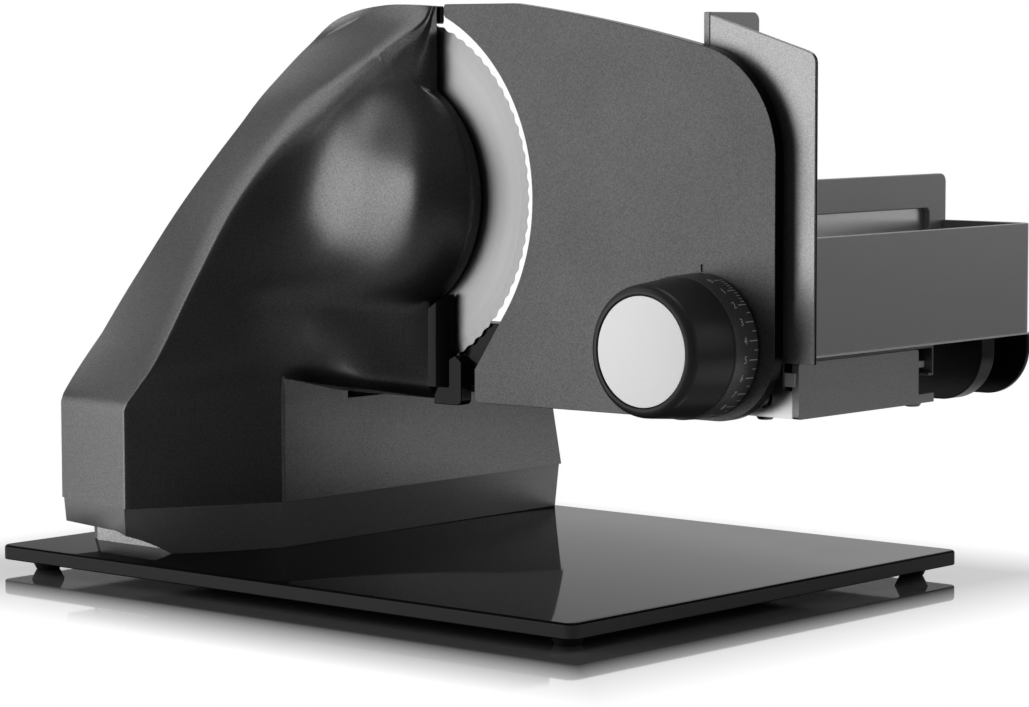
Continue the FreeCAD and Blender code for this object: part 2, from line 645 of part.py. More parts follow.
def stop_outline(y0, depth):
    """Outline of the stop plate with its hollow edge round the blade."""
    r = STOP_ARC_RADIUS
    upper, lower = math.radians(48), math.radians(-35)

    def on_arc(angle):
        return vec(r * math.cos(angle), y0, r * math.sin(angle))

    def slant(angle, z):
        p = on_arc(angle)
        return vec(p.x - (z - p.z) * math.tan(angle), y0, z)

    low_left = slant(lower, STOP_BOTTOM + 15)
    right, top, low = STOP_RIGHT, STOP_TOP, STOP_BOTTOM
    p = [slant(upper, top), vec(80, y0, top), vec(137, y0, top - 8.5), vec(190, y0, top - 19.4),
         vec(219, y0, 52), vec(right, y0, 24), vec(right, y0, low + 33),
         vec(right - 9.5, y0, low + 10), vec(right - 33, y0, low + 0.6),
         vec(low_left.x, y0, low - 0.5), low_left, on_arc(lower), on_arc(0), on_arc(upper)]
    edges = [Part.LineSegment(p[0], p[1]), Part.Arc(p[1], p[2], p[3]),
             Part.Arc(p[3], p[4], p[5]), Part.LineSegment(p[5], p[6]),
             Part.Arc(p[6], p[7], p[8]), Part.LineSegment(p[8], p[9]),
             Part.LineSegment(p[9], p[10]), Part.LineSegment(p[10], p[11]),
             Part.Arc(p[11], p[12], p[13]), Part.LineSegment(p[13], p[0])]
    wire = Part.Wire([e.toShape() for e in edges])
    return Part.Face(wire).extrude(vec(0, depth, 0))


INDEX_MARK_Z = -27.4


def stop_plate():
    plate = stop_outline(STOP_FACE_Y, STOP_THICKNESS)
    corners = edges_along(plate, vec(0, 1, 0), lambda c: c.x < 57 and abs(c.z) > 85)
    plate = plate.makeFillet(2.5, corners)
    arm = ARM_HALF_WIDTH + 1.5
    plate = plate.cut(box(DIAL_X - arm, DIAL_X + arm, STOP_FACE_Y - 1, STOP_BACK_Y + 1,
                          ARM_LOW - 0.8, ARM_HIGH + 0.8))
    plate = plate.cut(box(DIAL_X - 0.6, DIAL_X + 0.6, STOP_FACE_Y - 1, STOP_FACE_Y + 0.6,
                          INDEX_MARK_Z - 1.5, INDEX_MARK_Z + 1.5))
    for x in ROD_PLACES:
        plate = plate.cut(cyl_y(2.0, STOP_FACE_Y + 1.5, STOP_BACK_Y + 1, x, ROD_Z))
    return plate.cut(cyl_y(3.0, STOP_FACE_Y - 1, STOP_BACK_Y + 1, DIAL_X, DIAL_Z))


def guide_rods():
    rods = []
    for x in ROD_PLACES:
        rod = cyl_y(ROD_RADIUS, STOP_BACK_Y, STOP_BACK_Y + ROD_LENGTH, x, ROD_Z)
        stud = cyl_y(2.0, STOP_FACE_Y + 1.5, STOP_BACK_Y, x, ROD_Z)
        rods.append(rod.fuse(stud))
    return Part.makeCompound(rods)


def dial_spindle():
    """Steel pivot on the stop plate that the dial turns on."""
    pivot = cyl_y(SPINDLE_RADIUS, DIAL_FRONT_Y + 4.8, STOP_FACE_Y, DIAL_X, DIAL_Z)
    rivet = cyl_y(3.0, STOP_FACE_Y, STOP_BACK_Y, DIAL_X, DIAL_Z)
    return pivot.fuse(rivet)


def dial_grip():
    """Rubbery grip of the dial, a cup that opens towards the stop plate."""
    y0 = DIAL_FRONT_Y
    y1 = STOP_FACE_Y - RUN_GAP - DIAL_RING_LENGTH
    r = DIAL_GRIP_RADIUS
    profile = [(0, y0 + 1.2), (DIAL_CAP_RADIUS, y0 + 1.2), (DIAL_CAP_RADIUS, y0 + 0.2),
               (r - 3.6, y0), (r - 1.2, y0 + 1.4), (r, y0 + 4.5),
               (DIAL_RING_RADIUS - 0.9, y1), (DIAL_CAVITY_RADIUS, y1),
               (DIAL_CAVITY_RADIUS, y0 + 4.2), (0, y0 + 4.2)]
    return turned(profile, DIAL_X, DIAL_Z)


def scale_ring():
    y1 = STOP_FACE_Y - RUN_GAP
    y0 = y1 - DIAL_RING_LENGTH
    r = DIAL_RING_RADIUS
    profile = [(DIAL_CAVITY_RADIUS + 0.5, y0), (r - 0.7, y0), (r - 0.4, y0 + 0.4),
               (r, y1 - 0.6), (r - 0.6, y1), (DIAL_CAVITY_RADIUS + 0.5, y1)]
    return turned(profile, DIAL_X, DIAL_Z)


def dial_cap():
    y0 = DIAL_FRONT_Y + 0.2
    r = DIAL_CAP_RADIUS
    profile = [(0, y0), (r - 0.6, y0), (r, y0 + 0.4), (r, y0 + 1.0), (0, y0 + 1.0)]
    return turned(profile, DIAL_X, DIAL_Z)


def cam_drum():
    """Drum with a spiral groove that moves the stop plate as the dial turns."""
    y0, y1 = DIAL_FRONT_Y + 4.2, STOP_FACE_Y - 3
    drum = ring_y(DRUM_RADIUS, SPINDLE_RADIUS + SHAFT_GAP, y0, y1)
    lead = 360.0 / DIAL_DEGREES_PER_MM
    run = 1.2
    height = STOP_TRAVEL + 2 * run
    mid = DRUM_RADIUS - GROOVE_DEPTH / 2
    helix = Part.makeHelix(lead, height, mid)
    half = GROOVE_WIDTH / 2
    slope = math.atan2(lead, 2 * math.pi * mid)
    up = vec(0, -math.sin(slope), math.cos(slope))
    side = vec(1, 0, 0)
    start = vec(mid, 0, 0)
    reach = GROOVE_DEPTH / 2
    corners = [start - side * reach - up * half, start + side * (reach + 1) - up * half,
               start + side * (reach + 1) + up * half, start - side * reach + up * half]
    groove = Part.Wire(helix).makePipeShell([polygon(corners)], True, True)
    groove.rotate(vec(0, 0, 0), vec(0, 0, 1), -run * DIAL_DEGREES_PER_MM)
    place = FreeCAD.Matrix(0, -1, 0, 0, 0, 0, 1, PIN_LOCAL_Y - run, -1, 0, 0, 0, 0, 0, 0, 1)
    groove = groove.transformGeometry(place)
    drum = drum.cut(groove)
    drum.translate(vec(DIAL_X, 0, DIAL_Z))
    return drum


def blade():
    """Wavy-edged disc with a bevel on the motor side."""
    t = BLADE_THICKNESS / 2
    r = BLADE_RADIUS
    profile = [(BLADE_BORE / 2, -t), (r - BLADE_BEVEL, -t), (r, t - BLADE_EDGE_THICKNESS),
               (r, t), (BLADE_BORE / 2, t)]
    disc = turned(profile)
    step = 2 * math.pi / SCALLOP_COUNT
    edges = []
    for i in range(SCALLOP_COUNT):
        tips = []
        for turn, radius in ((0, r), (0.5, r - SCALLOP_DEPTH), (1, r)):
            angle = (i + turn) * step
            tips.append(vec(radius * math.cos(angle), -2, radius * math.sin(angle)))
        edges.append(Part.Arc(tips[0], tips[1], tips[2]).toShape())
    cutter = Part.Face(Part.Wire(edges)).extrude(vec(0, 4, 0))
    return disc.common(cutter)


def blade_shaft():
    """Flanged shaft that carries the blade and its drive gear."""
    t = BLADE_THICKNESS / 2
    profile = [(0, -30.5), (5, -30.5), (5, -18.0), (8, -18.0), (8, -8.5), (17, -8.5),
               (17, -t), (BLADE_BORE / 2 - SHAFT_GAP, -t), (BLADE_BORE / 2 - SHAFT_GAP, t),
               (0, t)]
    return turned(profile)


def blade_lock():
    """Slotted cap that clamps the blade from the food side."""
    t = BLADE_THICKNESS / 2
    r = LOCK_DIAMETER / 2
    y1 = t + LOCK_THICKNESS
    cap = turned([(0, t), (r, t), (r - 1.2, y1), (0, y1)])
    return cap.cut(box(-r + 5, r - 5, y1 - 1.2, y1 + 1, -1.6, 1.6))


def involute(base, radius):
    """Angle from the foot of an involute to where it meets a radius."""
    roll = math.sqrt(max(0.0, (radius / base) ** 2 - 1))
    return roll - math.atan(roll)


def gear(teeth, y0, y1, bore, start_angle):
    """Spur gear about the Y axis, one tooth centred at start_angle in XZ."""
    pitch = GEAR_MODULE * teeth / 2
    base = pitch * math.cos(math.radians(PRESSURE_ANGLE))
    tip = pitch + 0.9 * GEAR_MODULE
    root = pitch - 1.2 * GEAR_MODULE
    low = max(base, root + 0.1)
    half_pitch = math.pi / (2 * teeth) - BACKLASH / (4 * pitch)
    span = half_pitch + involute(base, pitch)

    def point(radius, side, middle):
        angle = middle + side * (span - involute(base, radius))
        return vec(radius * math.cos(angle), y0, radius * math.sin(angle))

    def root_point(side, middle):
        angle = middle + side * (span - involute(base, low))
        return vec(root * math.cos(angle), y0, root * math.sin(angle))

    edges = []
    step = 2 * math.pi / teeth
    for i in range(teeth):
        a = start_angle + i * step
        b = a + step
        flank = (low + tip) / 2
        edges.append(Part.LineSegment(root_point(-1, a), point(low, -1, a)))
        edges.append(Part.LineSegment(point(low, -1, a), point(flank, -1, a)))
        edges.append(Part.LineSegment(point(flank, -1, a), point(tip, -1, a)))
        edges.append(Part.LineSegment(point(tip, -1, a), point(tip, 1, a)))
        edges.append(Part.LineSegment(point(tip, 1, a), point(flank, 1, a)))
        edges.append(Part.LineSegment(point(flank, 1, a), point(low, 1, a)))
        edges.append(Part.LineSegment(point(low, 1, a), root_point(1, a)))
        edges.append(Part.LineSegment(root_point(1, a), root_point(-1, b)))
    wire = Part.Wire([e.toShape() for e in edges])
    solid = Part.Face(wire).extrude(vec(0, y1 - y0, 0))
    return solid.cut(cyl_y(bore, y0 - 1, y1 + 1))


def centre_distance(teeth_a, teeth_b):
    return GEAR_MODULE * (teeth_a + teeth_b) / 2


def along(start, angle, distance):
    turn = math.radians(angle)
    return (start[0] + distance * math.cos(turn), start[1] + distance * math.sin(turn))


IDLER = along((0.0, 0.0), IDLER_ANGLE, centre_distance(BLADE_GEAR_TEETH, IDLER_PINION_TEETH))
ROTOR = along(IDLER, ROTOR_ANGLE, centre_distance(IDLER_WHEEL_TEETH, ROTOR_PINION_TEETH))
BLADE_GEAR_Y = (-16.5, -8.5)
IDLER_WHEEL_Y = (-23.5, -17.5)
AXLE_RADIUS = 3.0


def blade_gear():
    solid = gear(BLADE_GEAR_TEETH, BLADE_GEAR_Y[0], BLADE_GEAR_Y[1], 8.0,
                 math.radians(IDLER_ANGLE))
    pitch = GEAR_MODULE * BLADE_GEAR_TEETH / 2
    for i in range(4):
        x, z = along((0, 0), 90 * i, pitch * 0.56)
        solid = solid.cut(cyl_y(pitch * 0.17, BLADE_GEAR_Y[0] - 1, BLADE_GEAR_Y[1] + 1, x, z))
    return solid


def idler_gear():
    """Large wheel and small pinion moulded as one."""
    back = math.radians(IDLER_ANGLE + 180)
    gap = math.pi / IDLER_PINION_TEETH
    bore = AXLE_RADIUS + SHAFT_GAP
    pinion = gear(IDLER_PINION_TEETH, IDLER_WHEEL_Y[1], BLADE_GEAR_Y[1] - 0.5, bore, back + gap)
    wheel = gear(IDLER_WHEEL_TEETH, IDLER_WHEEL_Y[0], IDLER_WHEEL_Y[1], bore,
                 math.radians(ROTOR_ANGLE))
    hub = ring_y(6.0, bore, GEAR_PLATE_Y + RUN_GAP, IDLER_WHEEL_Y[0])
    solid = pinion.fuse([wheel, hub]).removeSplitter()
    solid.translate(vec(IDLER[0], 0, IDLER[1]))
    return solid


def rotor_pinion():
    back = math.radians(ROTOR_ANGLE + 180)
    solid = gear(ROTOR_PINION_TEETH, IDLER_WHEEL_Y[0] + 0.3, IDLER_WHEEL_Y[1] + 0.5,
                 AXLE_RADIUS, back + math.pi / ROTOR_PINION_TEETH)
    solid.translate(vec(ROTOR[0], 0, ROTOR[1]))
    return solid


WALL_INNER_Y = HOUSING_BLADE_FACE - HOUSING_WALL
PLATE_BACK_Y = GEAR_PLATE_Y - GEAR_PLATE_THICKNESS
BEARING_OUTER = 13.0
ROTOR_BEARING = 8.0
GEAR_POSTS = ((-82.0, -24.0), (-28.0, -76.0), (-84.0, -84.0))


def gear_plate():
    """Cast plate that carries the blade bearing, the idler axle and the motor."""
    y0, y1 = PLATE_BACK_Y, GEAR_PLATE_Y
    outline = [(8, 15.5), (-12, 15.5), (-84, -16), (-92, -44), (-92, -80), (-84, -90),
               (-40, -88), (-22, -80), (8, -15)]
    plate = prism_y(outline, y0, y1)
    plate = plate.fuse(cyl_y(BEARING_OUTER + 2.5, -30.0, -18.8))
    for x, z in GEAR_POSTS:
        plate = plate.fuse(cyl_y(4.0, GEAR_PLATE_Y, WALL_INNER_Y, x, z))
    plate = plate.cut(cyl_y(BEARING_OUTER, -29.0, -18.0))
    plate = plate.cut(cyl_y(7.0, -31.0, -28.0))
    plate = plate.cut(cyl_y(AXLE_RADIUS, y0 - 1, y1 + 1, IDLER[0], IDLER[1]))
    plate = plate.cut(cyl_y(ROTOR_BEARING, y0 - 1, y1 + 1, ROTOR[0], ROTOR[1]))
    return plate.removeSplitter()


def blade_bearing():
    return ring_y(BEARING_OUTER, 5.0 + SHAFT_GAP, -29.0, -19.0)


def idler_axle():
    return cyl_y(AXLE_RADIUS, PLATE_BACK_Y - 1.0, WALL_INNER_Y, IDLER[0], IDLER[1])


STATOR_Y = (-52.0, -36.0)
END_BELL_Y = (-61.0, -58.0)


def rotor_bearings():
    front = ring_y(ROTOR_BEARING, AXLE_RADIUS + SHAFT_GAP, PLATE_BACK_Y, GEAR_PLATE_Y,
                   ROTOR[0], ROTOR[1])
    rear = ring_y(6.0, AXLE_RADIUS + SHAFT_GAP, END_BELL_Y[0], END_BELL_Y[1],
                  ROTOR[0], ROTOR[1])
    return Part.makeCompound([front, rear])


def stator_core():
    """Laminated ring of the motor with two pole shoes."""
    x, z = ROTOR
    ring = ring_y(MOTOR_RADIUS, 20.0, STATOR_Y[0], STATOR_Y[1], x, z)
    for side in (-1, 1):
        pole = box(x + min(side * 14, side * 21), x + max(side * 14, side * 21),
                   STATOR_Y[0], STATOR_Y[1], z - 9, z + 9)
        ring = ring.fuse(pole.cut(cyl_y(15.4, -60, -30, x, z)))
    return ring.removeSplitter()


def field_coils():
    """Copper end turns at both ends of the stator."""
    x, z = ROTOR
    coils = []
    for y0, y1 in ((STATOR_Y[0] - 3, STATOR_Y[0]), (STATOR_Y[1], STATOR_Y[1] + 3)):
        coils.append(ring_y(22.5, 16.5, y0, y1, x, z))
    return Part.makeCompound(coils)


MOTOR_POSTS = (40.0, 150.0, 270.0)


def motor_frame():
    """Rear end bell with three legs that bolt the motor to the gear plate."""
    x, z = ROTOR
    bell = cyl_y(20.0, END_BELL_Y[0], END_BELL_Y[1], x, z)
    bell = bell.cut(cyl_y(6.0, END_BELL_Y[0] - 1, END_BELL_Y[1] + 1, x, z))
    for angle in MOTOR_POSTS:
        px, pz = along(ROTOR, angle, 17.2)
        foot_x, foot_z = along(ROTOR, angle, 22.0)
        bell = bell.fuse(cyl_y(1.8, END_BELL_Y[1] - 1, STATOR_Y[0] - 3, px, pz))
        bell = bell.fuse(cyl_y(1.8, STATOR_Y[1] + 3, PLATE_BACK_Y, foot_x, foot_z))
    return bell


def brushes():
    x, z = ROTOR
    holders = []
    for side in (-1, 1):
        x0, x1 = sorted((x + side * 8.3, x + side * 16))
        holders.append(box(x0, x1, -58.0, -55.2, z - 2.5, z + 2.5))
    return Part.makeCompound(holders)


def rotor_shaft():
    return cyl_y(AXLE_RADIUS, END_BELL_Y[0] + 0.3, IDLER_WHEEL_Y[1] + 0.5, ROTOR[0], ROTOR[1])


def rotor_core():
    """Wound armature and commutator."""
    x, z = ROTOR
    core = ring_y(15.0, AXLE_RADIUS, STATOR_Y[0], STATOR_Y[1], x, z)
    commutator = ring_y(8.0, AXLE_RADIUS, END_BELL_Y[1] + 0.4, STATOR_Y[0], x, z)
    return core.fuse(commutator)


def cooling_fan():
    x, z = ROTOR
    hub = ring_y(8.0, AXLE_RADIUS, -32.8, -29.0, x, z)
    blades = []
    for i in range(9):
        blade_box = box(x + 6, x + 15.5, -32.8, -29.0, z - 0.6, z + 0.6)
        blade_box.rotate(vec(x, 0, z), vec(0, 1, 0), 40 * i)
        blades.append(blade_box)
    return hub.fuse(blades).removeSplitter()


def control_board():
    """Circuit board on the pan's floor with a capacitor and a terminal block."""
    floor = Z_PAN + PAN_FLOOR
    board = box(-108.0, -58.0, 20.0, 90.0, floor + 4, floor + 5.6)
    parts = [board]
    for x in (-104.0, -62.0):
        for y in (24.0, 86.0):
            parts.append(cyl_z(2.5, floor, floor + 4, x, y))
    parts.append(cyl_z(8.0, floor + 5.6, floor + 30, -90.0, 40.0))
    parts.append(box(-80.0, -62.0, 60.0, 76.0, floor + 5.6, floor + 17))
    return fuse_all(parts)


SWITCH_FLANGE = 2.0
SWITCH_DEPTH = 16.0
ROCKER_TILT = 7.0


def switch_frame():
    """Frame of the rocker switch, open at the front."""
    left = HOUSING_FOOT_LEFT
    hy, hz = SWITCH_WIDTH / 2, SWITCH_HEIGHT / 2
    body = box(left, left + SWITCH_DEPTH, SWITCH_Y - hy + 0.1, SWITCH_Y + hy - 0.1,
               SWITCH_Z - hz + 0.1, SWITCH_Z + hz - 0.1)
    flange = box(left - SWITCH_FLANGE, left, SWITCH_Y - hy - 2, SWITCH_Y + hy + 2,
                 SWITCH_Z - hz - 2, SWITCH_Z + hz + 2)
    hollow = box(left - 5, left + 8, SWITCH_Y - hy + 2, SWITCH_Y + hy - 2,
                 SWITCH_Z - hz + 2, SWITCH_Z + hz - 2)
    return body.fuse(flange).cut(hollow).removeSplitter()


def switch_rocker():
    """Rocker key, at rest with its off end pressed in."""
    left = HOUSING_FOOT_LEFT
    hy, hz = SWITCH_WIDTH / 2 - 3.2, SWITCH_HEIGHT / 2 - 2.4
    x_pivot = left + 2.5
    section = [(x_pivot + 3.5, SWITCH_Y), (x_pivot - 1.0, SWITCH_Y - hy),
               (x_pivot - 5.0, SWITCH_Y - hy), (x_pivot - 3.8, SWITCH_Y),
               (x_pivot - 5.0, SWITCH_Y + hy), (x_pivot - 1.0, SWITCH_Y + hy)]
    key = prism_z(section, SWITCH_Z - hz, SWITCH_Z + hz)
    key.rotate(vec(x_pivot, SWITCH_Y, SWITCH_Z), vec(0, 0, 1), -ROCKER_TILT)
    return key


def cord_gland():
    left = HOUSING_FOOT_LEFT
    collar = cyl_x(GLAND_RADIUS + 3, left - 4, left, GLAND_Y, GLAND_Z)
    stem = cyl_x(GLAND_RADIUS, left, left + HOUSING_WALL + 4, GLAND_Y, GLAND_Z)
    bore = cyl_x(3.6, left - 6, left + HOUSING_WALL + 6, GLAND_Y, GLAND_Z)
    return collar.fuse(stem).cut(bore)


DEFLECTOR_RIGHT = 40.3
DEFLECTOR_FACE = -10.0
DEFLECTOR_TOP_RADIUS = 61.0
DEFLECTOR_LOW = -89.0
SHIELD_RIGHT = 75.0
SHIELD_TOP = -58.5


def slice_deflector():
    """Black scraper beside the blade below the dome."""
    x0, x1 = HOUSING_EDGE_X, DEFLECTOR_RIGHT
    r = DEFLECTOR_TOP_RADIUS
    y0, y1 = DEFLECTOR_FACE, -BLADE_THICKNESS / 2 - 1.0
    body = box(x0, x1, y0, y1, DEFLECTOR_LOW, 0)
    body = body.cut(cyl_y(r, y0 - 1, y1 + 1))
    return body.makeFillet(2.0, edges_along(body, vec(0, 0, 1), lambda c: c.y < y0 + 0.1))


def deflector_foot():
    """Block under the scraper, with a thin shield behind the gap to the stop plate."""
    x0, x1 = HOUSING_EDGE_X, DEFLECTOR_RIGHT + 8
    low, high = DEFLECTOR_LOW - 8.5, DEFLECTOR_LOW + 15
    front = prism_y([(x0, low), (x1, low), (x1, high - 3), (x1 - 4, high),
                     (DEFLECTOR_RIGHT - 2, high - 3), (x0, high - 15)],
                    -6.0, HOUSING_FOOD_FACE)
    front = round_along(front, vec(0, 1, 0), 3.0, lambda c: c.z < low + 1 and c.x > x0 + 1)
    front = front.cut(slice_deflector())
    front = front.cut(cyl_y(RECESS_RADIUS, -2.0, 5))
    shield = box(x0 + 9, SHIELD_RIGHT, HOUSING_FOOD_FACE, 3.0, low + 9.5, SHIELD_TOP)
    shield = round_along(shield, vec(0, 1, 0), 4.0)
    return front.fuse(shield).removeSplitter()


TAB_WIDTH = 36.0
TAB_TOP = 84.6
PUSHER_TOP = 8.7
SLOT_LOW = -18.5
SLOT_HIGH = -7.5
SLOT_NEAR = 52.0
SLOT_FAR = 174.0
GUARD_LOW = -67.7


def finger_guard():
    """Upright plate that keeps the pushing hand away from the blade."""
    top_left, top_right = 83.5, 66.5
    plate = prism_y([(PUSHER_X, GUARD_LOW), (GUARD_RIGHT, GUARD_LOW), (GUARD_RIGHT, top_right - 1),
                     (GUARD_RIGHT - 5, top_right + 1.2), (PUSHER_X, top_left)],
                    GUARD_NEAR, GUARD_NEAR + SHEET)
    return round_along(plate, vec(0, 1, 0), 5.0, lambda c: c.x > GUARD_RIGHT - 1 and c.z > 0)


def pusher_wall():
    """Wall that pushes the food, with a tall end beside the blade and a slot."""
    x0, x1 = PUSHER_X - PUSHER_THICKNESS, PUSHER_X
    low = TRAY_TOP
    near, far = GUARD_NEAR, CARRIAGE_FAR
    outline = [(near, low), (far, low), (far, PUSHER_TOP), (near + TAB_WIDTH + 6, PUSHER_TOP),
               (near + TAB_WIDTH, PUSHER_TOP + 10), (near + TAB_WIDTH, TAB_TOP), (near, TAB_TOP)]
    wall = prism_x(outline, x0, x1)
    wall = round_along(wall, vec(1, 0, 0), 4.0, lambda c: c.z > PUSHER_TOP - 1 and c.y > near + 1)
    slot = box(x0 - 1, x1 + 1, SLOT_NEAR, SLOT_FAR, SLOT_LOW, SLOT_HIGH)
    slot = round_along(slot, vec(1, 0, 0), 2.5)
    return wall.cut(slot)


def pusher_liner():
    """Thin steel sheet on the food side of the pusher wall."""
    x1 = PUSHER_X - PUSHER_THICKNESS
    sheet = box(x1 - TRAY_SHEET, x1, GUARD_NEAR + SHEET + 0.5, CARRIAGE_FAR - 3, TRAY_TOP,
                PUSHER_TOP - 2)
    return round_along(sheet, vec(1, 0, 0), 4.0, lambda c: c.z > 0)


HAND_BOX_TOP = -13.5


def hand_box():
    """Front and end walls of the open space for the pushing hand."""
    x0, x1 = PUSHER_X, FRONT_WALL_X
    y0, y1 = GUARD_NEAR + SHEET, CARRIAGE_FAR
    outer = box(x0, x1, y0, y1, TRAY_TOP, HAND_BOX_TOP)
    outer = round_along(outer, vec(0, 0, 1), 7.0, lambda c: c.x > x1 - 1 and c.y > y1 - 1)
    inner = box(x0 - 1, x1 - SHEET - 1, y0 - 1, y1 - SHEET - 1, TRAY_TOP - 1, HAND_BOX_TOP + 1)
    inner = round_along(inner, vec(0, 0, 1), 4.0, lambda c: c.x > x0 + 1 and c.y > y0 + 1)
    walls = outer.cut(inner)
    tab = box(x1 - SHEET - 1, x1, y0, RAIL_NEAR - RUN_GAP, GUARD_LOW, TRAY_TOP)
    return walls.fuse(tab).removeSplitter()


def tray_plate():
    """Bright steel sheet that the food lies on."""
    y0 = GUARD_NEAR + SHEET
    plate = box(TRAY_LEFT, FRONT_WALL_X - 1, y0, CARRIAGE_FAR, TRAY_UNDER, TRAY_TOP)
    plate = round_along(plate, vec(0, 0, 1), 6.0, lambda c: c.x < TRAY_LEFT + 1)
    notch = box(FRONT_WALL_X - SHEET - 1.2, FRONT_WALL_X, y0 - 1, y0 + 5.2, TRAY_UNDER - 1,
                TRAY_TOP + 1)
    return plate.cut(notch)


def runner_channel():
    """Inverted channel under the tray that rides on the rail."""
    t = CHANNEL_SHEET
    near_in = RAIL_NEAR - STRIP_THICKNESS - RUN_GAP
    far_in = RAIL_FAR + STRIP_FAR_THICKNESS + RUN_GAP
    top = TRAY_UNDER
    under = RAIL_TOP + RUN_GAP
    lip_top = STRIP_LOW - RUN_GAP
    roof = box(CHANNEL_LEFT, CHANNEL_RIGHT, near_in - t, far_in + t, under, top)
    roof = roof.cut(box(CHANNEL_RIGHT - 9, CHANNEL_RIGHT + 1, near_in - t - 1, near_in + 6,
                        under - 1, top + 1))
    near = box(CHANNEL_LEFT, CHANNEL_RIGHT - 9, near_in - t, near_in, lip_top - t, under)
    near_lip = box(CHANNEL_LEFT, CHANNEL_RIGHT - 9, near_in - t, near_in + 1.2, lip_top - t,
                   lip_top)
    far = box(CHANNEL_LEFT, CHANNEL_RIGHT, far_in, far_in + t, lip_top - t, under)
    far_lip = box(CHANNEL_LEFT, CHANNEL_RIGHT, far_in - 3, far_in + t, lip_top - t, lip_top)
    return fuse_all([roof, near, near_lip, far, far_lip])


RIB_NEAR = 147.6
RIB_THICKNESS = 11.0
SKIRT_LOW = Z_FOOT_TOP + 0.6
SKIRT_LEFT = 150.0
SKIRT_RADIUS = 25.0


def skirt_plate(y0, y1, setback):
    """Upright plate below the tray with a quarter-round front corner."""
    x1 = FRONT_WALL_X - setback
    plate = box(SKIRT_LEFT, x1, y0, y1, SKIRT_LOW, TRAY_UNDER)
    test = lambda c: c.x > x1 - 1 and c.z < SKIRT_LOW + 1
    return round_along(plate, vec(0, 1, 0), SKIRT_RADIUS - setback, test)


def end_skirt():
    """Hanging end of the carriage: a thick rib and a thin outer wall."""
    rib = skirt_plate(RIB_NEAR, RIB_NEAR + RIB_THICKNESS, 2.0)
    outer = skirt_plate(CARRIAGE_FAR - 3, CARRIAGE_FAR, 1.5)
    back = box(SKIRT_LEFT, SKIRT_LEFT + 3, RIB_NEAR, CARRIAGE_FAR, SKIRT_LOW, TRAY_UNDER)
    return fuse_all([rib, outer, back])


def carriage_screws():
    """Countersunk screws that join the tray to the channel."""
    screws = []
    for x in (CHANNEL_LEFT + 12, PUSHER_X - 25):
        for y in (RAIL_NEAR + 10, RAIL_FAR - 10):
            screws.append(cyl_z(3.0, TRAY_TOP, TRAY_TOP + 0.8, x, y))
    return Part.makeCompound(screws)


PIECES = {
    "glass_base": glass_base,
    "rubber_feet": rubber_feet,
    "base_pan": base_pan,
    "recess_panel": recess_panel,
    "pan_screws": pan_screws,
    "housing_foot": housing_foot,
    "housing_tower": housing_tower,
    "gear_plate": gear_plate,
    "blade_bearing": blade_bearing,
    "idler_axle": idler_axle,
    "rotor_bearings": rotor_bearings,
    "stator_core": stator_core,
    "field_coils": field_coils,
    "motor_frame": motor_frame,
    "brushes": brushes,
    "control_board": control_board,
    "switch_frame": switch_frame,
    "cord_gland": cord_gland,
    "slice_deflector": slice_deflector,
    "deflector_foot": deflector_foot,
    "rail_saddle": rail_saddle,
    "rail_bolts": rail_bolts,
    "rail_base": rail_base,
    "rail_sides": rail_sides,
    "rail_cover": rail_cover,
    "rail_sheet": rail_sheet,
    "rail_end_cap": rail_end_cap,
    "rail_studs": rail_studs,
    "glide_strips": glide_strips,
    "guide_blocks": guide_blocks,
    "follower_arm": follower_arm,
    "blade": blade,
    "blade_gear": blade_gear,
    "blade_shaft": blade_shaft,
    "blade_lock": blade_lock,
    "idler_gear": idler_gear,
    "rotor_pinion": rotor_pinion,
    "rotor_shaft": rotor_shaft,
    "rotor_core": rotor_core,
    "cooling_fan": cooling_fan,
    "stop_plate": stop_plate,
    "guide_rods": guide_rods,
    "dial_spindle": dial_spindle,
    "dial_grip": dial_grip,
    "scale_ring": scale_ring,
    "dial_cap": dial_cap,
    "cam_drum": cam_drum,
    "finger_guard": finger_guard,
    "pusher_wall": pusher_wall,
    "pusher_liner": pusher_liner,
    "hand_box": hand_box,
    "tray_plate": tray_plate,
    "runner_channel": runner_channel,
    "end_skirt": end_skirt,
    "carriage_screws": carriage_screws,
    "switch_rocker": switch_rocker,
}

os.makedirs("parts", exist_ok=True)
for piece_name, make_piece in PIECES.items():
    save(piece_name, make_piece())
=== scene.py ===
"""Food slicer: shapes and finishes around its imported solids, laid out as an add-on."""

import json
import math

import bmesh
import bpy
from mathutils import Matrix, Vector


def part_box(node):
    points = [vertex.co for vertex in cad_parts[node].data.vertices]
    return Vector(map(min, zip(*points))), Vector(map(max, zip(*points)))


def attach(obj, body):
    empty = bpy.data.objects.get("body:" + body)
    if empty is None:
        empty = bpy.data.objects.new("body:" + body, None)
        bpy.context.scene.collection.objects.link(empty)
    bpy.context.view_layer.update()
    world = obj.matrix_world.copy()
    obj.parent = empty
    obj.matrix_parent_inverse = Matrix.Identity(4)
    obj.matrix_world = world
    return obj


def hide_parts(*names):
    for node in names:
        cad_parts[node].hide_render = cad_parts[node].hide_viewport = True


bl_info = {
    "name": "Food Slicer",
    "version": (1, 0, 0),
    "blender": (4, 5, 0),
    "location": "3D View > Sidebar > Slicer",
    "description": "Models and finishes the pieces of a table-top food slicer",
    "category": "Add Mesh",
}

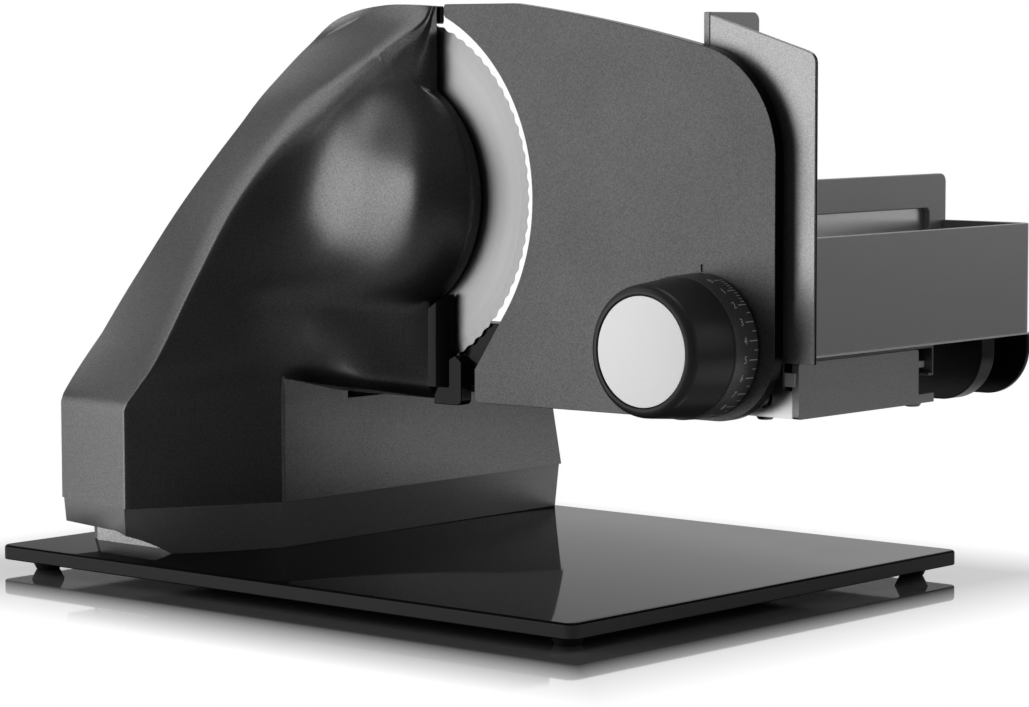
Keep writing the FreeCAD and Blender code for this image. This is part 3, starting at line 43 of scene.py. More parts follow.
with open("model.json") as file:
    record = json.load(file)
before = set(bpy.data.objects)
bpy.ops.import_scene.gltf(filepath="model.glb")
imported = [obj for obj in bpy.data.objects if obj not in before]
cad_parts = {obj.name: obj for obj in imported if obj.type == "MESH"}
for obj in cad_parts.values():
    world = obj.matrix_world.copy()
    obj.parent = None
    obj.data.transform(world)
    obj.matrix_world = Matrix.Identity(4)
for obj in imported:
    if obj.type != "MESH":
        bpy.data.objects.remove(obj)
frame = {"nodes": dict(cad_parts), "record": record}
NODES = frame["nodes"]
SLOTS = {part["node"]: part["material_slot"] for part in frame["record"]["subparts"]}
BODIES = {node: body for body, members in frame["record"]["behaviour"]["bodies"].items()
          for node in members}
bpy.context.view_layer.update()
MM = 0.001

# The middle of the blade is where all the slicer's own sizes are measured from.
BLADE_MIDDLE = (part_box("blade")[0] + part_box("blade")[1]) / 2


def at(x, y, z):
    """A place in the frame, from millimetres about the middle of the blade."""
    return BLADE_MIDDLE + Vector((x, y, z)) * MM


def mm(place):
    """Millimetres about the middle of the blade, from a place in the frame."""
    return (Vector(place) - BLADE_MIDDLE) / MM


def node_box(*names):
    """Lowest and highest corner of some CAD nodes, in millimetres."""
    corners = [mm(corner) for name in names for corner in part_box(name)]
    low = Vector([min(c[i] for c in corners) for i in range(3)])
    high = Vector([max(c[i] for c in corners) for i in range(3)])
    return low, high


class SlicerSizes(bpy.types.PropertyGroup):
    """Sizes of the slicer's edges and marks."""

    ridge_round: bpy.props.FloatProperty(
        name="Ridge rounding", description="How softly the housing's ridge turns",
        default=0.0028, min=0.001, max=0.03, unit="LENGTH")
    cast_edge: bpy.props.FloatProperty(
        name="Cast edge", description="Rounding of the housing's outer edges",
        default=0.0012, min=0.0002, max=0.004, unit="LENGTH")
    sheet_edge: bpy.props.FloatProperty(
        name="Sheet edge", description="Rounding along the edges of plates and walls",
        default=0.0005, min=0.0001, max=0.002, unit="LENGTH")
    numeral_height: bpy.props.FloatProperty(
        name="Numeral height", description="Height of the numerals on the scale ring",
        default=0.0048, min=0.001, max=0.01, unit="LENGTH")
    number_step: bpy.props.FloatProperty(
        name="Step between numbers", description="Turn of the dial from one number to the next",
        default=math.radians(15.0), min=0.05, max=1.0, subtype="ANGLE")
    first_number: bpy.props.FloatProperty(
        name="Place of the nought", description="Turn from the top of the dial to its nought",
        default=math.radians(22.5), min=0.0, max=1.0, subtype="ANGLE")


class SlicerColours(bpy.types.PropertyGroup):
    """Colours of the slicer's finishes."""

    cast: bpy.props.FloatVectorProperty(
        name="Cast housing", description="Powder coat of the cast housing",
        default=(0.27, 0.27, 0.273), min=0, max=1, subtype="COLOR")
    plate: bpy.props.FloatVectorProperty(
        name="Stop plate", description="Powder coat of the stop plate",
        default=(0.19, 0.19, 0.192), min=0, max=1, subtype="COLOR")
    guard: bpy.props.FloatVectorProperty(
        name="Guard", description="Satin plastic of the finger guard",
        default=(0.56, 0.56, 0.562), min=0, max=1, subtype="COLOR")
    walls: bpy.props.FloatVectorProperty(
        name="Carriage walls", description="Satin plastic of the carriage",
        default=(0.44, 0.44, 0.442), min=0, max=1, subtype="COLOR")
    pan: bpy.props.FloatVectorProperty(
        name="Base pan", description="Satin plastic of the base pan",
        default=(0.34, 0.34, 0.341), min=0, max=1, subtype="COLOR")
    black: bpy.props.FloatVectorProperty(
        name="Black trim", description="Black plastic of the dial and small parts",
        default=(0.012, 0.012, 0.012), min=0, max=1, subtype="COLOR")
    glass: bpy.props.FloatVectorProperty(
        name="Glass plate", description="Body colour of the black glass plate",
        default=(0.006, 0.0065, 0.007), min=0, max=1, subtype="COLOR")
    floor: bpy.props.FloatVectorProperty(
        name="Floor", description="Plain floor that the slicer stands on",
        default=(0.9, 0.9, 0.9), min=0, max=1, subtype="COLOR")


def sizes():
    """The sizes that the panel shows."""
    return bpy.context.scene.slicer_sizes


def colours():
    """The colours that the panel shows."""
    return bpy.context.scene.slicer_colours


# Modelling helpers


def take(obj):
    """Makes an object the only selected one."""
    if bpy.context.object and bpy.context.object.mode != "OBJECT":
        bpy.ops.object.mode_set(mode="OBJECT")
    bpy.ops.object.select_all(action="DESELECT")
    if obj:
        obj.select_set(True)
        bpy.context.view_layer.objects.active = obj
    return obj


def settle(obj, name=None):
    """Puts the object's place and size into its mesh."""
    take(obj)
    bpy.ops.object.transform_apply(location=True, rotation=True, scale=True)
    if name:
        obj.name = name
        obj.data.name = name
    return obj


def block(name, low, high):
    """A box between two corners given in millimetres."""
    take(None)
    low, high = Vector(low), Vector(high)
    bpy.ops.mesh.primitive_cube_add(size=1, location=at(*((low + high) / 2)),
                                    scale=(high - low) * MM)
    return settle(bpy.context.object, name)


def prism(name, outline, axis, low, high):
    """An outline in millimetres, extruded along an axis between two levels."""
    take(None)
    bpy.ops.mesh.primitive_circle_add(vertices=len(outline), radius=0.01, fill_type="NGON")
    obj = bpy.context.object
    obj.name = obj.data.name = name
    for vertex, (a, b) in zip(obj.data.vertices, outline):
        vertex.co = at(*((low, a, b), (a, low, b), (a, b, low))[axis])
    take(obj)
    bpy.ops.object.mode_set(mode="EDIT")
    bpy.ops.mesh.select_all(action="SELECT")
    shift = [0.0, 0.0, 0.0]
    shift[axis] = high - low
    extrude(obj, shift)
    bpy.ops.mesh.select_all(action="SELECT")
    bpy.ops.mesh.normals_make_consistent(inside=False)
    leave_edit()
    return obj


def turned(name, profile, x=0.0, z=0.0, sides=128):
    """A ring or disc turned about a near-to-far axis, from (radius, Y) points in order."""
    closed = profile[0] == profile[-1]
    take(None)
    hub = at(x, 0, z)
    bpy.ops.mesh.primitive_circle_add(
        vertices=sides, radius=profile[0][0] * MM, fill_type="NOTHING",
        location=at(x, profile[0][1], z), rotation=(math.pi / 2, 0, 0))
    obj = settle(bpy.context.object, name)
    bpy.ops.object.mode_set(mode="EDIT")
    bpy.ops.mesh.select_all(action="SELECT")
    if not closed:
        bpy.ops.mesh.edge_face_add()
        bpy.ops.mesh.select_mode(type="EDGE")
    for (r0, y0), (r1, y1) in zip(profile, profile[1:]):
        extrude(obj, (0, y1 - y0, 0))
        bpy.ops.transform.resize(value=(r1 / r0, 1, r1 / r0), center_override=hub)
    bpy.ops.mesh.select_all(action="SELECT")
    bpy.ops.mesh.remove_doubles(threshold=1e-6)
    bpy.ops.mesh.normals_make_consistent(inside=False)
    leave_edit()
    return obj


def paint_rim(obj, test):
    """Marks the faces of a plate's rim, for its finish to read: painted shade on coated plates, a ground
    edge on the glass.
    """
    mark = obj.data.attributes.get("rim") or obj.data.attributes.new("rim", "FLOAT", "FACE")
    for face in obj.data.polygons:
        mark.data[face.index].value = 1.0 if test(face) else 0.0
    return obj


def disc(name, radius, y0, y1, x=0.0, z=0.0, sides=128, turn=0.0):
    """A short cylinder about an axis that runs from near to far."""
    take(None)
    bpy.ops.mesh.primitive_cylinder_add(
        vertices=sides, radius=radius * MM, depth=(y1 - y0) * MM,
        location=at(x, (y0 + y1) / 2, z), rotation=(math.pi / 2, turn, 0))
    return settle(bpy.context.object, name)


def select(obj, kind, test):
    """Selects the corners, edges or faces that pass a test, in edit mode."""
    take(obj)
    bpy.ops.object.mode_set(mode="EDIT")
    bpy.ops.mesh.select_mode(type=kind)
    bpy.ops.mesh.select_all(action="DESELECT")
    shape = bmesh.from_edit_mesh(obj.data)
    shape.faces.ensure_lookup_table()
    parts = {"VERT": shape.verts, "EDGE": shape.edges, "FACE": shape.faces}[kind]
    count = 0
    for part in parts:
        if test(part):
            part.select_set(True)
            count += 1
    if not count:
        raise RuntimeError("nothing to select on " + obj.name)
    shape.select_flush_mode()
    bmesh.update_edit_mesh(obj.data)


def leave_edit():
    """Goes back to object mode."""
    bpy.ops.object.mode_set(mode="OBJECT")


def middle(edge):
    """Middle of an edge, in millimetres."""
    return mm((edge.verts[0].co + edge.verts[1].co) / 2)


def runs(edge, axis):
    """Whether an edge runs along an axis."""
    along = edge.verts[1].co - edge.verts[0].co
    return abs(along[axis]) > 0.995 * along.length


def round_edges(obj, axis, radius, test, segments=8):
    """Rounds the edges along an axis whose middle passes a test."""
    select(obj, "EDGE", lambda e: runs(e, axis) and test(middle(e)))
    bpy.ops.mesh.bevel(offset=radius * MM, segments=segments, affect="EDGES",
                       clamp_overlap=True)
    leave_edit()


def extrude(obj, shift):
    """Extrudes what is selected, in edit mode, by millimetres."""
    bpy.ops.mesh.extrude_region_move(
        TRANSFORM_OT_translate={"value": Vector(shift) * MM})


def combine(obj, tool, operation="DIFFERENCE"):
    """Cuts with, adds or keeps the common part of another object, which is used up."""
    take(obj)
    bpy.ops.object.modifier_add(type="BOOLEAN")
    modifier = obj.modifiers[-1]
    modifier.operation = operation
    modifier.solver = "EXACT"
    modifier.object = tool
    bpy.ops.object.modifier_apply(modifier=modifier.name)
    bpy.data.objects.remove(tool)
    return obj


def soften(obj, width, segments=2, limit=35.0):
    """Rounds all sharp edges by a small width and shades the rest smooth."""
    smooth(obj, limit)
    bpy.ops.object.modifier_add(type="BEVEL")
    modifier = obj.modifiers[-1]
    modifier.width = width
    modifier.segments = segments
    modifier.limit_method = "ANGLE"
    modifier.angle_limit = math.radians(limit)
    modifier.harden_normals = True
    modifier.miter_outer = "MITER_ARC"
    bpy.ops.object.modifier_apply(modifier=modifier.name)
    return obj


def smooth(obj, limit):
    """Shades an object smooth, apart from edges sharper than a limit in degrees."""
    take(obj)
    bpy.ops.object.shade_smooth_by_angle(angle=math.radians(limit))
    return obj


def dressed_copy(node, width=0.0003, limit=35.0):
    """A copy of a CAD node's mesh with merged corners and softened edges."""
    obj = bpy.data.objects.new(node + "_dressed", NODES[node].data.copy())
    bpy.context.scene.collection.objects.link(obj)
    take(obj)
    bpy.ops.object.mode_set(mode="EDIT")
    bpy.ops.mesh.select_all(action="SELECT")
    bpy.ops.mesh.remove_doubles(threshold=2e-6)
    bpy.ops.mesh.dissolve_limited(angle_limit=math.radians(0.6))
    leave_edit()
    return soften(obj, width, limit=limit)


def place_piece(obj, body, slot, material, *nodes):
    """Gives a piece its finish and its body, and hides the nodes it stands for."""
    obj.data.materials.clear()
    obj.data.materials.append(material)
    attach(obj, body)
    if nodes:
        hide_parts(*nodes)
    return obj


# Finishes


class Nodes:
    """A node tree under way."""

    def __init__(self, tree):
        self.tree = tree

    def add(self, kind, **values):
        """A node whose sockets are set or linked by name, spaces as underscores."""
        made = self.tree.nodes.new(kind)
        for key, value in values.items():
            socket = made.inputs.get(key.replace("_", " "))
            if socket is None:
                setattr(made, key, value)
            else:
                self.feed(socket, value)
        return made

    def feed(self, socket, value):
        """Links a socket to another node's output, or sets it."""
        if isinstance(value, bpy.types.NodeSocket):
            self.tree.links.new(value, socket)
        else:
            socket.default_value = value

    def maths(self, operation, *values, kind="ShaderNodeMath"):
        """What an operation makes of numbers, or of vectors with the vector kind."""
        made = self.add(kind, operation=operation)
        for socket, value in zip(made.inputs, values):
            self.feed(socket, value)
        return made.outputs[0]

    def spread(self, value, low, high, start=0.3, end=0.7):
        """Maps a pattern's value to a range."""
        made = self.add("ShaderNodeMapRange", From_Min=start, From_Max=end, To_Min=low,
                        To_Max=high)
        self.tree.links.new(value, made.inputs["Value"])
        return made.outputs["Result"]


class Finish(Nodes):
    """A material under way, with its shader and the object's coordinates."""

    def __init__(self, name, colour, roughness, metallic=0.0):
        self.material = bpy.data.materials.new(name)
        self.material.use_nodes = True
        super().__init__(self.material.node_tree)
        self.shader = self.tree.nodes["Principled BSDF"]
        self.set("Base Color", (*colour, 1.0))
        self.set("Roughness", roughness)
        self.set("Metallic", metallic)
        self.material.diffuse_color = (*colour, 1.0)
        self.place = self.tree.nodes.new("ShaderNodeTexCoord").outputs["Object"]
        self.normal = None

    def set(self, name, value):
        self.shader.inputs[name].default_value = value

    def link(self, output, name):
        self.tree.links.new(output, self.shader.inputs[name])

    def moved(self, middle=(0, 0, 0), turn=(0, 0, 0), stretch=(1, 1, 1)):
        """The object's coordinates about a place, turned and stretched."""
        shift = self.maths("SUBTRACT", self.place, middle, kind="ShaderNodeVectorMath")
        made = self.add("ShaderNodeMapping", Vector=shift, Rotation=turn, Scale=stretch)
        return made.outputs["Vector"]

    def noise(self, scale, detail=2.0, roughness=0.5, vector=None):
        made = self.add("ShaderNodeTexNoise", Vector=vector or self.place, Scale=scale,
                        Detail=detail, Roughness=roughness)
        return made.outputs["Fac"]

    def blend(self, value, first, second, start=0.3, end=0.7):
        """A colour between two, by a pattern's value."""
        made = self.add("ShaderNodeValToRGB")
        made.color_ramp.elements[0].position = start
        made.color_ramp.elements[0].color = (*first, 1.0)
        made.color_ramp.elements[1].position = end
        made.color_ramp.elements[1].color = (*second, 1.0)
        self.tree.links.new(value, made.inputs["Fac"])
        return made.outputs["Color"]

    def rim(self, colour, roughness):
        """Another colour and roughness where a plate's rim is marked: near-black painted shade on the
        side faces of coated plates and plastics, a paler ground edge on the glass.
        """
        mark = self.add("ShaderNodeAttribute", attribute_name="rim").outputs["Fac"]
        for name, value in (("Base Color", (*colour, 1.0)), ("Roughness", roughness)):
            socket = self.shader.inputs[name]
            if name == "Base Color":
                mix = self.tree.nodes.new("ShaderNodeMixRGB")
                first, second = mix.inputs["Color1"], mix.inputs["Color2"]
                result = mix.outputs["Color"]
                self.tree.links.new(mark, mix.inputs["Fac"])
            else:
                mix = self.tree.nodes.new("ShaderNodeMix")
                first, second = mix.inputs["A"], mix.inputs["B"]
                result = mix.outputs["Result"]
                self.tree.links.new(mark, mix.inputs["Factor"])
            second.default_value = value
            if socket.links:
                self.tree.links.new(socket.links[0].from_socket, first)
            else:
                first.default_value = socket.default_value
            self.tree.links.new(result, socket)

    def bump(self, height, strength, distance):
        made = self.add("ShaderNodeBump", Strength=strength, Distance=distance)
        self.tree.links.new(height, made.inputs["Height"])
        if self.normal:
            self.tree.links.new(self.normal, made.inputs["Normal"])
        self.normal = made.outputs["Normal"]
        self.link(self.normal, "Normal")


def shade(colour, factor):
    """A colour made darker or lighter by a factor."""
    return tuple(min(1.0, c * factor) for c in colour)


def powder_coat(name, colour, roughness=0.42, lustre=0.88, grain=1300.0, depth=0.0001):
    """Fine-grained powder coat with metal flakes and uneven gloss, and painted shade on a marked rim."""
    coat = Finish(name, colour, roughness, metallic=lustre)
    speckle = coat.noise(grain, 2.0, 0.6)
    coat.link(coat.blend(speckle, shade(colour, 0.75), shade(colour, 1.25)), "Base Color")
    cloud = coat.noise(14.0, 3.0, 0.55)
    coat.link(coat.spread(cloud, roughness - 0.03, roughness + 0.04), "Roughness")
    coat.bump(speckle, 0.5, depth)
    # painted shade: marked rim faces turn near-black, standing in for the shade on a plate's sides
    coat.rim((0.006, 0.006, 0.006), 0.3)
    return coat.material


def moulded_plastic(name, colour, roughness=0.4, grain=2200.0, depth=0.00003, coat=0.0):
    """Moulded plastic with a fine eroded texture and soft wear, and painted shade on a marked rim."""
    plastic = Finish(name, colour, roughness)
    fine = plastic.noise(grain, 2.0)
    cloud = plastic.noise(22.0, 4.0, 0.6)
    plastic.link(plastic.blend(cloud, shade(colour, 0.9), shade(colour, 1.1)), "Base Color")
    plastic.link(plastic.spread(cloud, roughness - 0.04, roughness + 0.05), "Roughness")
    plastic.bump(fine, 0.4, depth)
    # painted shade: marked rim faces turn near-black
    plastic.rim((0.006, 0.006, 0.006), 0.25)
    if coat:
        plastic.set("Coat Weight", coat)
        plastic.set("Coat Roughness", 0.08)
    return plastic.material


def gloss_plastic(name, colour):
    """Polished black plastic with faint hairline marks."""
    plastic = Finish(name, colour, 0.12)
    cloud = plastic.noise(35.0, 3.0)
    plastic.link(plastic.spread(cloud, 0.08, 0.2), "Roughness")
    plastic.link(plastic.blend(cloud, shade(colour, 0.85), shade(colour, 1.2)), "Base Color")
    plastic.bump(plastic.noise(160.0, 2.0), 0.05, 0.00005)
    plastic.set("Specular IOR Level", 0.2)
    return plastic.material


def brushed_steel(name, colour, roughness=0.28, axis=0, fine=1800.0):
    """Steel with fine grinding lines along an axis."""
    steel = Finish(name, colour, roughness, metallic=1.0)
    stretch = [1.0, 1.0, 1.0]
    stretch[axis] = 0.015
    lines = steel.noise(fine, 3.0, 0.6, steel.moved(stretch=stretch))
    cloud = steel.noise(18.0, 3.0)
    steel.link(steel.blend(lines, shade(colour, 0.95), shade(colour, 1.04)), "Base Color")
    steel.link(steel.spread(cloud, roughness - 0.03, roughness + 0.05), "Roughness")
    steel.bump(lines, 0.05, 0.00001)
    return steel.material


def turned_steel(name, colour, middle, roughness=0.3, rings=900.0):
    """Steel turned about an axis that runs from near to far."""
    steel = Finish(name, colour, roughness, metallic=1.0)
    centred = steel.moved(middle=middle)
    parts = steel.add("ShaderNodeSeparateXYZ", Vector=centred)
    flat = steel.add("ShaderNodeCombineXYZ", X=parts.outputs["X"], Z=parts.outputs["Z"])
    reach = steel.add("ShaderNodeVectorMath", operation="LENGTH")
    steel.tree.links.new(flat.outputs[0], reach.inputs[0])
    along = steel.add("ShaderNodeCombineXYZ", X=reach.outputs["Value"], Y=parts.outputs["Y"])
    lines = steel.noise(rings, 3.0, 0.65, along.outputs[0])
    steel.link(steel.blend(lines, shade(colour, 0.93), shade(colour, 1.05)), "Base Color")
    steel.link(steel.spread(lines, roughness - 0.03, roughness + 0.04), "Roughness")
    steel.bump(lines, 0.05, 0.00001)
    return steel.material


class SLICER_OT_stage(bpy.types.Operator):
    """Add the pale floor, the soft lamps and the camera"""

    bl_idname = "slicer.stage"
    bl_label = "Stage"

    # level direction that leads from the camera to the slicer
    away_from_camera = (-0.66, 0.75)

    def execute(self, context):
        scene = context.scene
        take(None)
        bpy.ops.mesh.primitive_plane_add(size=0.96, location=(0.0, 0.02, 0))
        floor = settle(context.object, "floor")
        select(floor, "VERT", lambda v: True)
        bpy.ops.mesh.bevel(offset=0.2, segments=12, affect="VERTICES")
        leave_edit()
        floor.data.materials.append(self.floor_finish())

        # place, what it is aimed at, size in metres and brightness, where 1 is white
        lamps = (
            ("front_lamp", (-1.12, -1.28, 0.2), (1.75, 1.05), 1.25),
            ("left_lamp", (-0.95, -0.83, 1.1), (0.9, 0.66), 0.85),
            ("top_lamp", (0.1, 0.6, 1.6), (1.0, 1.0), 1.8),
            ("right_lamp", (1.6, 0.25, 0.35), (0.16, 0.9), 0.9),
            ("back_lamp", (1.0, 1.3, 0.5), (0.9, 0.8), 0.7),
        )
        for name, place, size, level in lamps:
            take(None)
            bpy.ops.object.light_add(type="AREA", location=place)
            lamp = context.object
            lamp.name = name
            lamp.data.shape = "RECTANGLE"
            lamp.data.size, lamp.data.size_y = size
            lamp.data.energy = level * math.pi * size[0] * size[1]
            lamp.visible_camera = False
            aim = Vector((0.0, 0.0, 0.15)) - Vector(place)
            lamp.rotation_euler = aim.to_track_quat("-Z", "Y").to_euler()
        self.make_world(scene)

        take(None)
        bpy.ops.object.camera_add(
            location=(1.08363, -1.23776, 0.24875),
            rotation=(math.radians(84.99), math.radians(0.12), math.radians(41.25)))
        camera = context.object
        camera.name = "photo_camera"
        camera.data.sensor_width = 36.0
        camera.data.lens = 121.75
        camera.data.clip_start = 0.01
        scene.camera = camera
        scene.view_settings.view_transform = "Standard"
        return {"FINISHED"}

    def make_world(self, scene):
        """White backdrop; reflections see it grow darker low down and on the camera's side."""
        world = bpy.data.worlds.new("studio")
        scene.world = world
        world.use_nodes = True
        nodes = Nodes(world.node_tree)
        background = nodes.tree.nodes["Background"]
        background.inputs["Color"].default_value = (1, 1, 1, 1)
        ways = nodes.add("ShaderNodeTexCoord").outputs["Generated"]
        parts = nodes.add("ShaderNodeSeparateXYZ", Vector=ways).outputs
        behind = nodes.maths("MULTIPLY", parts["X"], self.away_from_camera[0])
        behind = nodes.maths("MULTIPLY_ADD", parts["Y"], self.away_from_camera[1], behind)
        side = nodes.spread(behind, 0.045, 1.0, 0.45, 0.85)
        rise = nodes.spread(parts["Z"], 0.6, 1.0, 0.05, 0.5)
        path = nodes.add("ShaderNodeLightPath").outputs
        shiny = nodes.maths("MAXIMUM", path["Is Glossy Ray"], path["Is Transmission Ray"])
        level = nodes.maths("MULTIPLY", shiny, nodes.maths("MULTIPLY", side, rise))
        level = nodes.maths("MAXIMUM", level, path["Is Camera Ray"])
        soft = nodes.maths("MULTIPLY", path["Is Diffuse Ray"], 0.12)
        level = nodes.maths("MAXIMUM", level, soft)
        nodes.tree.links.new(level, background.inputs["Strength"])

    def floor_finish(self):
        """Pale floor that mirrors the glass plate's edge and fades to white."""
        finish = Finish("pale_floor", colours().floor, 0.06, metallic=0.8)
        finish.link(finish.spread(finish.noise(3.0, 2.0), 0.03, 0.05), "Roughness")
        low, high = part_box("glass_base")
        middle, half = (low + high) / 2, (high - low) / 2
        vectors = "ShaderNodeVectorMath"
        away = finish.maths("SUBTRACT", finish.place, (middle.x, middle.y, 0), kind=vectors)
        away = finish.maths("ABSOLUTE", away, kind=vectors)
        beyond = finish.maths("SUBTRACT", away, (half.x, half.y, 0), kind=vectors)
        parts = finish.add("ShaderNodeSeparateXYZ", Vector=beyond).outputs
        reach = finish.maths("MAXIMUM", parts["X"], parts["Y"])
        path = finish.add("ShaderNodeLightPath").outputs
        seen = finish.maths("MAXIMUM", path["Is Camera Ray"], path["Is Transmission Ray"])
        share = finish.maths("MULTIPLY", seen, finish.spread(reach, 0.0, 1.0, 0.02, 0.085))
        white = finish.add("ShaderNodeEmission", Strength=1.0)
        mix = finish.add("ShaderNodeMixShader", Fac=share)
        finish.feed(mix.inputs[1], finish.shader.outputs[0])
        finish.feed(mix.inputs[2], white.outputs[0])
        finish.feed(finish.tree.nodes["Material Output"].inputs["Surface"], mix.outputs[0])
        return finish.material


class SLICER_OT_plain_nodes(bpy.types.Operator):
    """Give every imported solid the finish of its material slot"""

    bl_idname = "slicer.plain_nodes"
    bl_label = "Finishes of the solids"

    def execute(self, context):
        finishes = slot_finishes()
        for name, node in NODES.items():
            node.data.materials.clear()
            node.data.materials.append(finishes[SLOTS[name]])
        return {"FINISHED"}


FINISHES = {}
# Grain and relief of satin moulded plastic
SATIN_GRAIN = 2200.0
SATIN_DEPTH = 0.00004


def grey(level):
    """A neutral grey."""
    return (level, level, level)


def slot_finishes():
    """The finishes by name: one for each material slot, and those of the dial's pieces."""
    if FINISHES:
        return FINISHES
    shades = colours()
    hub = at(0, 0, 0)
    dial = at(DIAL_X, 0, DIAL_Z)
    FINISHES.update({
        "black_glass": black_glass("black_glass", shades.glass),
        "anthracite_cast": powder_coat("anthracite_cast", shades.cast, 0.31, 0.94),
        "anthracite_plate": powder_coat("anthracite_plate", shades.plate, 0.46),
        "guard_plastic": powder_coat("guard_plastic", shades.guard, 0.36, 0.9, SATIN_GRAIN, SATIN_DEPTH),
        "wall_plastic": powder_coat("wall_plastic", shades.walls, 0.4, 0.6, SATIN_GRAIN, SATIN_DEPTH),
        "pan_plastic": powder_coat("pan_plastic", shades.pan, 0.4, 0.5, SATIN_GRAIN, SATIN_DEPTH),
        # grey panel, made paler still as painted light against the shade deep in the recess
        "panel_grey": powder_coat("panel_grey", grey(0.75), 0.4, 0.8),
        "black_gloss": gloss_plastic("black_gloss", shades.black),
        "black_satin": powder_coat("black_satin", grey(0.028), 0.36, 0.85, SATIN_GRAIN, 0.00003),
        "foot_rubber": moulded_plastic("foot_rubber", grey(0.02), 0.7, 1500.0, 0.00008),
        "bright_steel": brushed_steel("bright_steel", grey(0.9), 0.3),
        "blade_steel": turned_steel("blade_steel", (0.58, 0.58, 0.585), hub, 0.4),
        "shaft_steel": brushed_steel("shaft_steel", (0.5, 0.5, 0.52), 0.3, 1),
        "glide_white": moulded_plastic("glide_white", (0.8, 0.8, 0.79), 0.35),
        "gear_nylon": moulded_plastic("gear_nylon", (0.7, 0.68, 0.6), 0.42),
        "cast_alloy": powder_coat("cast_alloy", (0.45, 0.45, 0.46), 0.5, 0.7, 900.0, 0.0001),
        "cap_aluminium": turned_steel("cap_aluminium", grey(0.84), dial, 0.42, 2600.0),
        "dial_black": moulded_plastic("dial_black", grey(0.05), 0.36),
        "ring_black": powder_coat("ring_black", grey(0.2), 0.42, 0.5, 1600.0, 0.00008),
        "scale_paint": moulded_plastic("scale_paint", (0.9, 0.9, 0.88), 0.5),
        "winding_copper": copper_winding("winding_copper", (0.62, 0.3, 0.14)),
        "lamination": laminations("lamination", (0.2, 0.2, 0.21)),
        "board_green": circuit_board("board_green", (0.04, 0.16, 0.07)),
    })
    return FINISHES


def black_glass(name, colour):
    """Black glass with a hard polish, ground satin on its edges."""
    glass = Finish(name, colour, 0.03)
    glass.set("IOR", 1.07)
    smear = glass.noise(9.0, 4.0, 0.6)
    glass.link(glass.spread(smear, 0.02, 0.06), "Roughness")
    glass.link(glass.blend(smear, shade(colour, 0.9), shade(colour, 1.15)), "Base Color")
    glass.rim((0.1, 0.1, 0.101), 0.3)
    return glass.material


def copper_winding(name, colour):
    """Lacquered copper wires side by side."""
    copper = Finish(name, colour, 0.3, metallic=1.0)
    wires = copper.add("ShaderNodeTexWave", Vector=copper.place, Scale=700.0, Distortion=1.5,
                       Detail=1.0)
    copper.link(copper.blend(wires.outputs["Fac"], shade(colour, 0.55), shade(colour, 1.15),
                             0.1, 0.8), "Base Color")
    copper.bump(wires.outputs["Fac"], 0.7, 0.0003)
    return copper.material


def laminations(name, colour):
    """Stacked thin sheets, seen on their edges."""
    iron = Finish(name, colour, 0.45, metallic=0.8)
    sheets = iron.add("ShaderNodeTexWave", Vector=iron.moved(stretch=(0, 1, 0)), Scale=320.0,
                      Distortion=0.0, bands_direction="Y")
    iron.link(iron.blend(sheets.outputs["Fac"], shade(colour, 0.5), shade(colour, 1.2),
                         0.1, 0.6), "Base Color")
    iron.bump(sheets.outputs["Fac"], 0.5, 0.0002)
    return iron.material


def circuit_board(name, colour):
    """Green lacquered board with paler tracks."""
    board = Finish(name, colour, 0.35)
    tracks = board.add("ShaderNodeTexBrick", Vector=board.place, Scale=160.0)
    tracks.inputs["Color1"].default_value = (*shade(colour, 1.4), 1)
    tracks.inputs["Color2"].default_value = (*colour, 1)
    tracks.inputs["Mortar"].default_value = (*shade(colour, 0.7), 1)
    board.link(tracks.outputs["Color"], "Base Color")
    board.bump(tracks.outputs["Fac"], 0.2, 0.0001)
    return board.material


# Housing

# Height, X of the ridge, yaw of the near face, Y of the blade-side edge
TOWER = (
    (-98.0, -71.0, 0.20, -10.0),
    (-77.0, -61.5, 0.19, -9.3),
    (-40.0, -55.5, 0.15, -8.4),
    (0.0, -46.0, 0.07, -8.0),
    (40.0, -21.3, 0.06, -8.0),
    (62.0, 3.8, 0.1, -8.0),
    (81.0, 28.0, 0.06, -6.5),
    (92.0, 28.5, 0.0, -1.5),
)
# How deep a hollow the dark face follows, in millimetres: seven controls from the ridge to
# the rim at each of ten even heights; below nothing it is the dome's bulge
FACE = (
    (66, 10, -11, 38, 13, 27, 54),
    (59, 11, 38, 44, 0, 20, 25),
    (46, 15, 38, 6, 13, 10, -9),
    (33, 18, 3, 6, 3, -6, -48),
    (18, 25, 14, 3, -6, -33, -82),
    (2, 11, 7, -7, -10, -48, -90),
    (-3, -9, -2, -5, -8, -12, -61),
    (5, 2, -1, 1, 2, 0, -22),
    (6, -1, 0, -2, -5, 6, 13),
    (4, -2, -1, 0, 3, 19, 45),
)
# X and height of the tower's left and top outline
LEFT_OUTLINE = (
    (-128.5, -96.0), (-128.5, -91.0), (-126.0, -76.0), (-115.5, -52.0), (-102.5, -27.5),
    (-89.5, -3.5), (-77.0, 20.5), (-70.0, 34.5), (-64.0, 50.5), (-58.5, 63.0), (-50.0, 73.0),
    (-37.0, 82.0), (-20.0, 87.0), (0.0, 89.3), (16.0, 89.3), (29.0, 88.5),
)
# Y and height of the dark face's lower edge, from the near end to the blade
UNDERSIDE = ((-130.0, -66.9), (-41.0, -87.0), (-3.0, -95.5), (9.0, -98.0))
RIDGE_FOOT_Y = -108.8
RIDGE_SLOPE = 0.557
NEAR_BEND = 0.006
FOOD_FACE = 1.5
FOOT_DRAFT = 11.0
DIAL_X = 190.0
DIAL_Z = -61.5
FOOT_LEFT = -128.5
FOOT_RIGHT = -32.5
FOOT_TOP = -96.0
FOOT_SEAM = -146.0
RIM = 58.3
RIM_Y = -8.0
EDGE_X = 31.0
RIM_CORNER = math.sqrt(RIM * RIM - EDGE_X * EDGE_X)


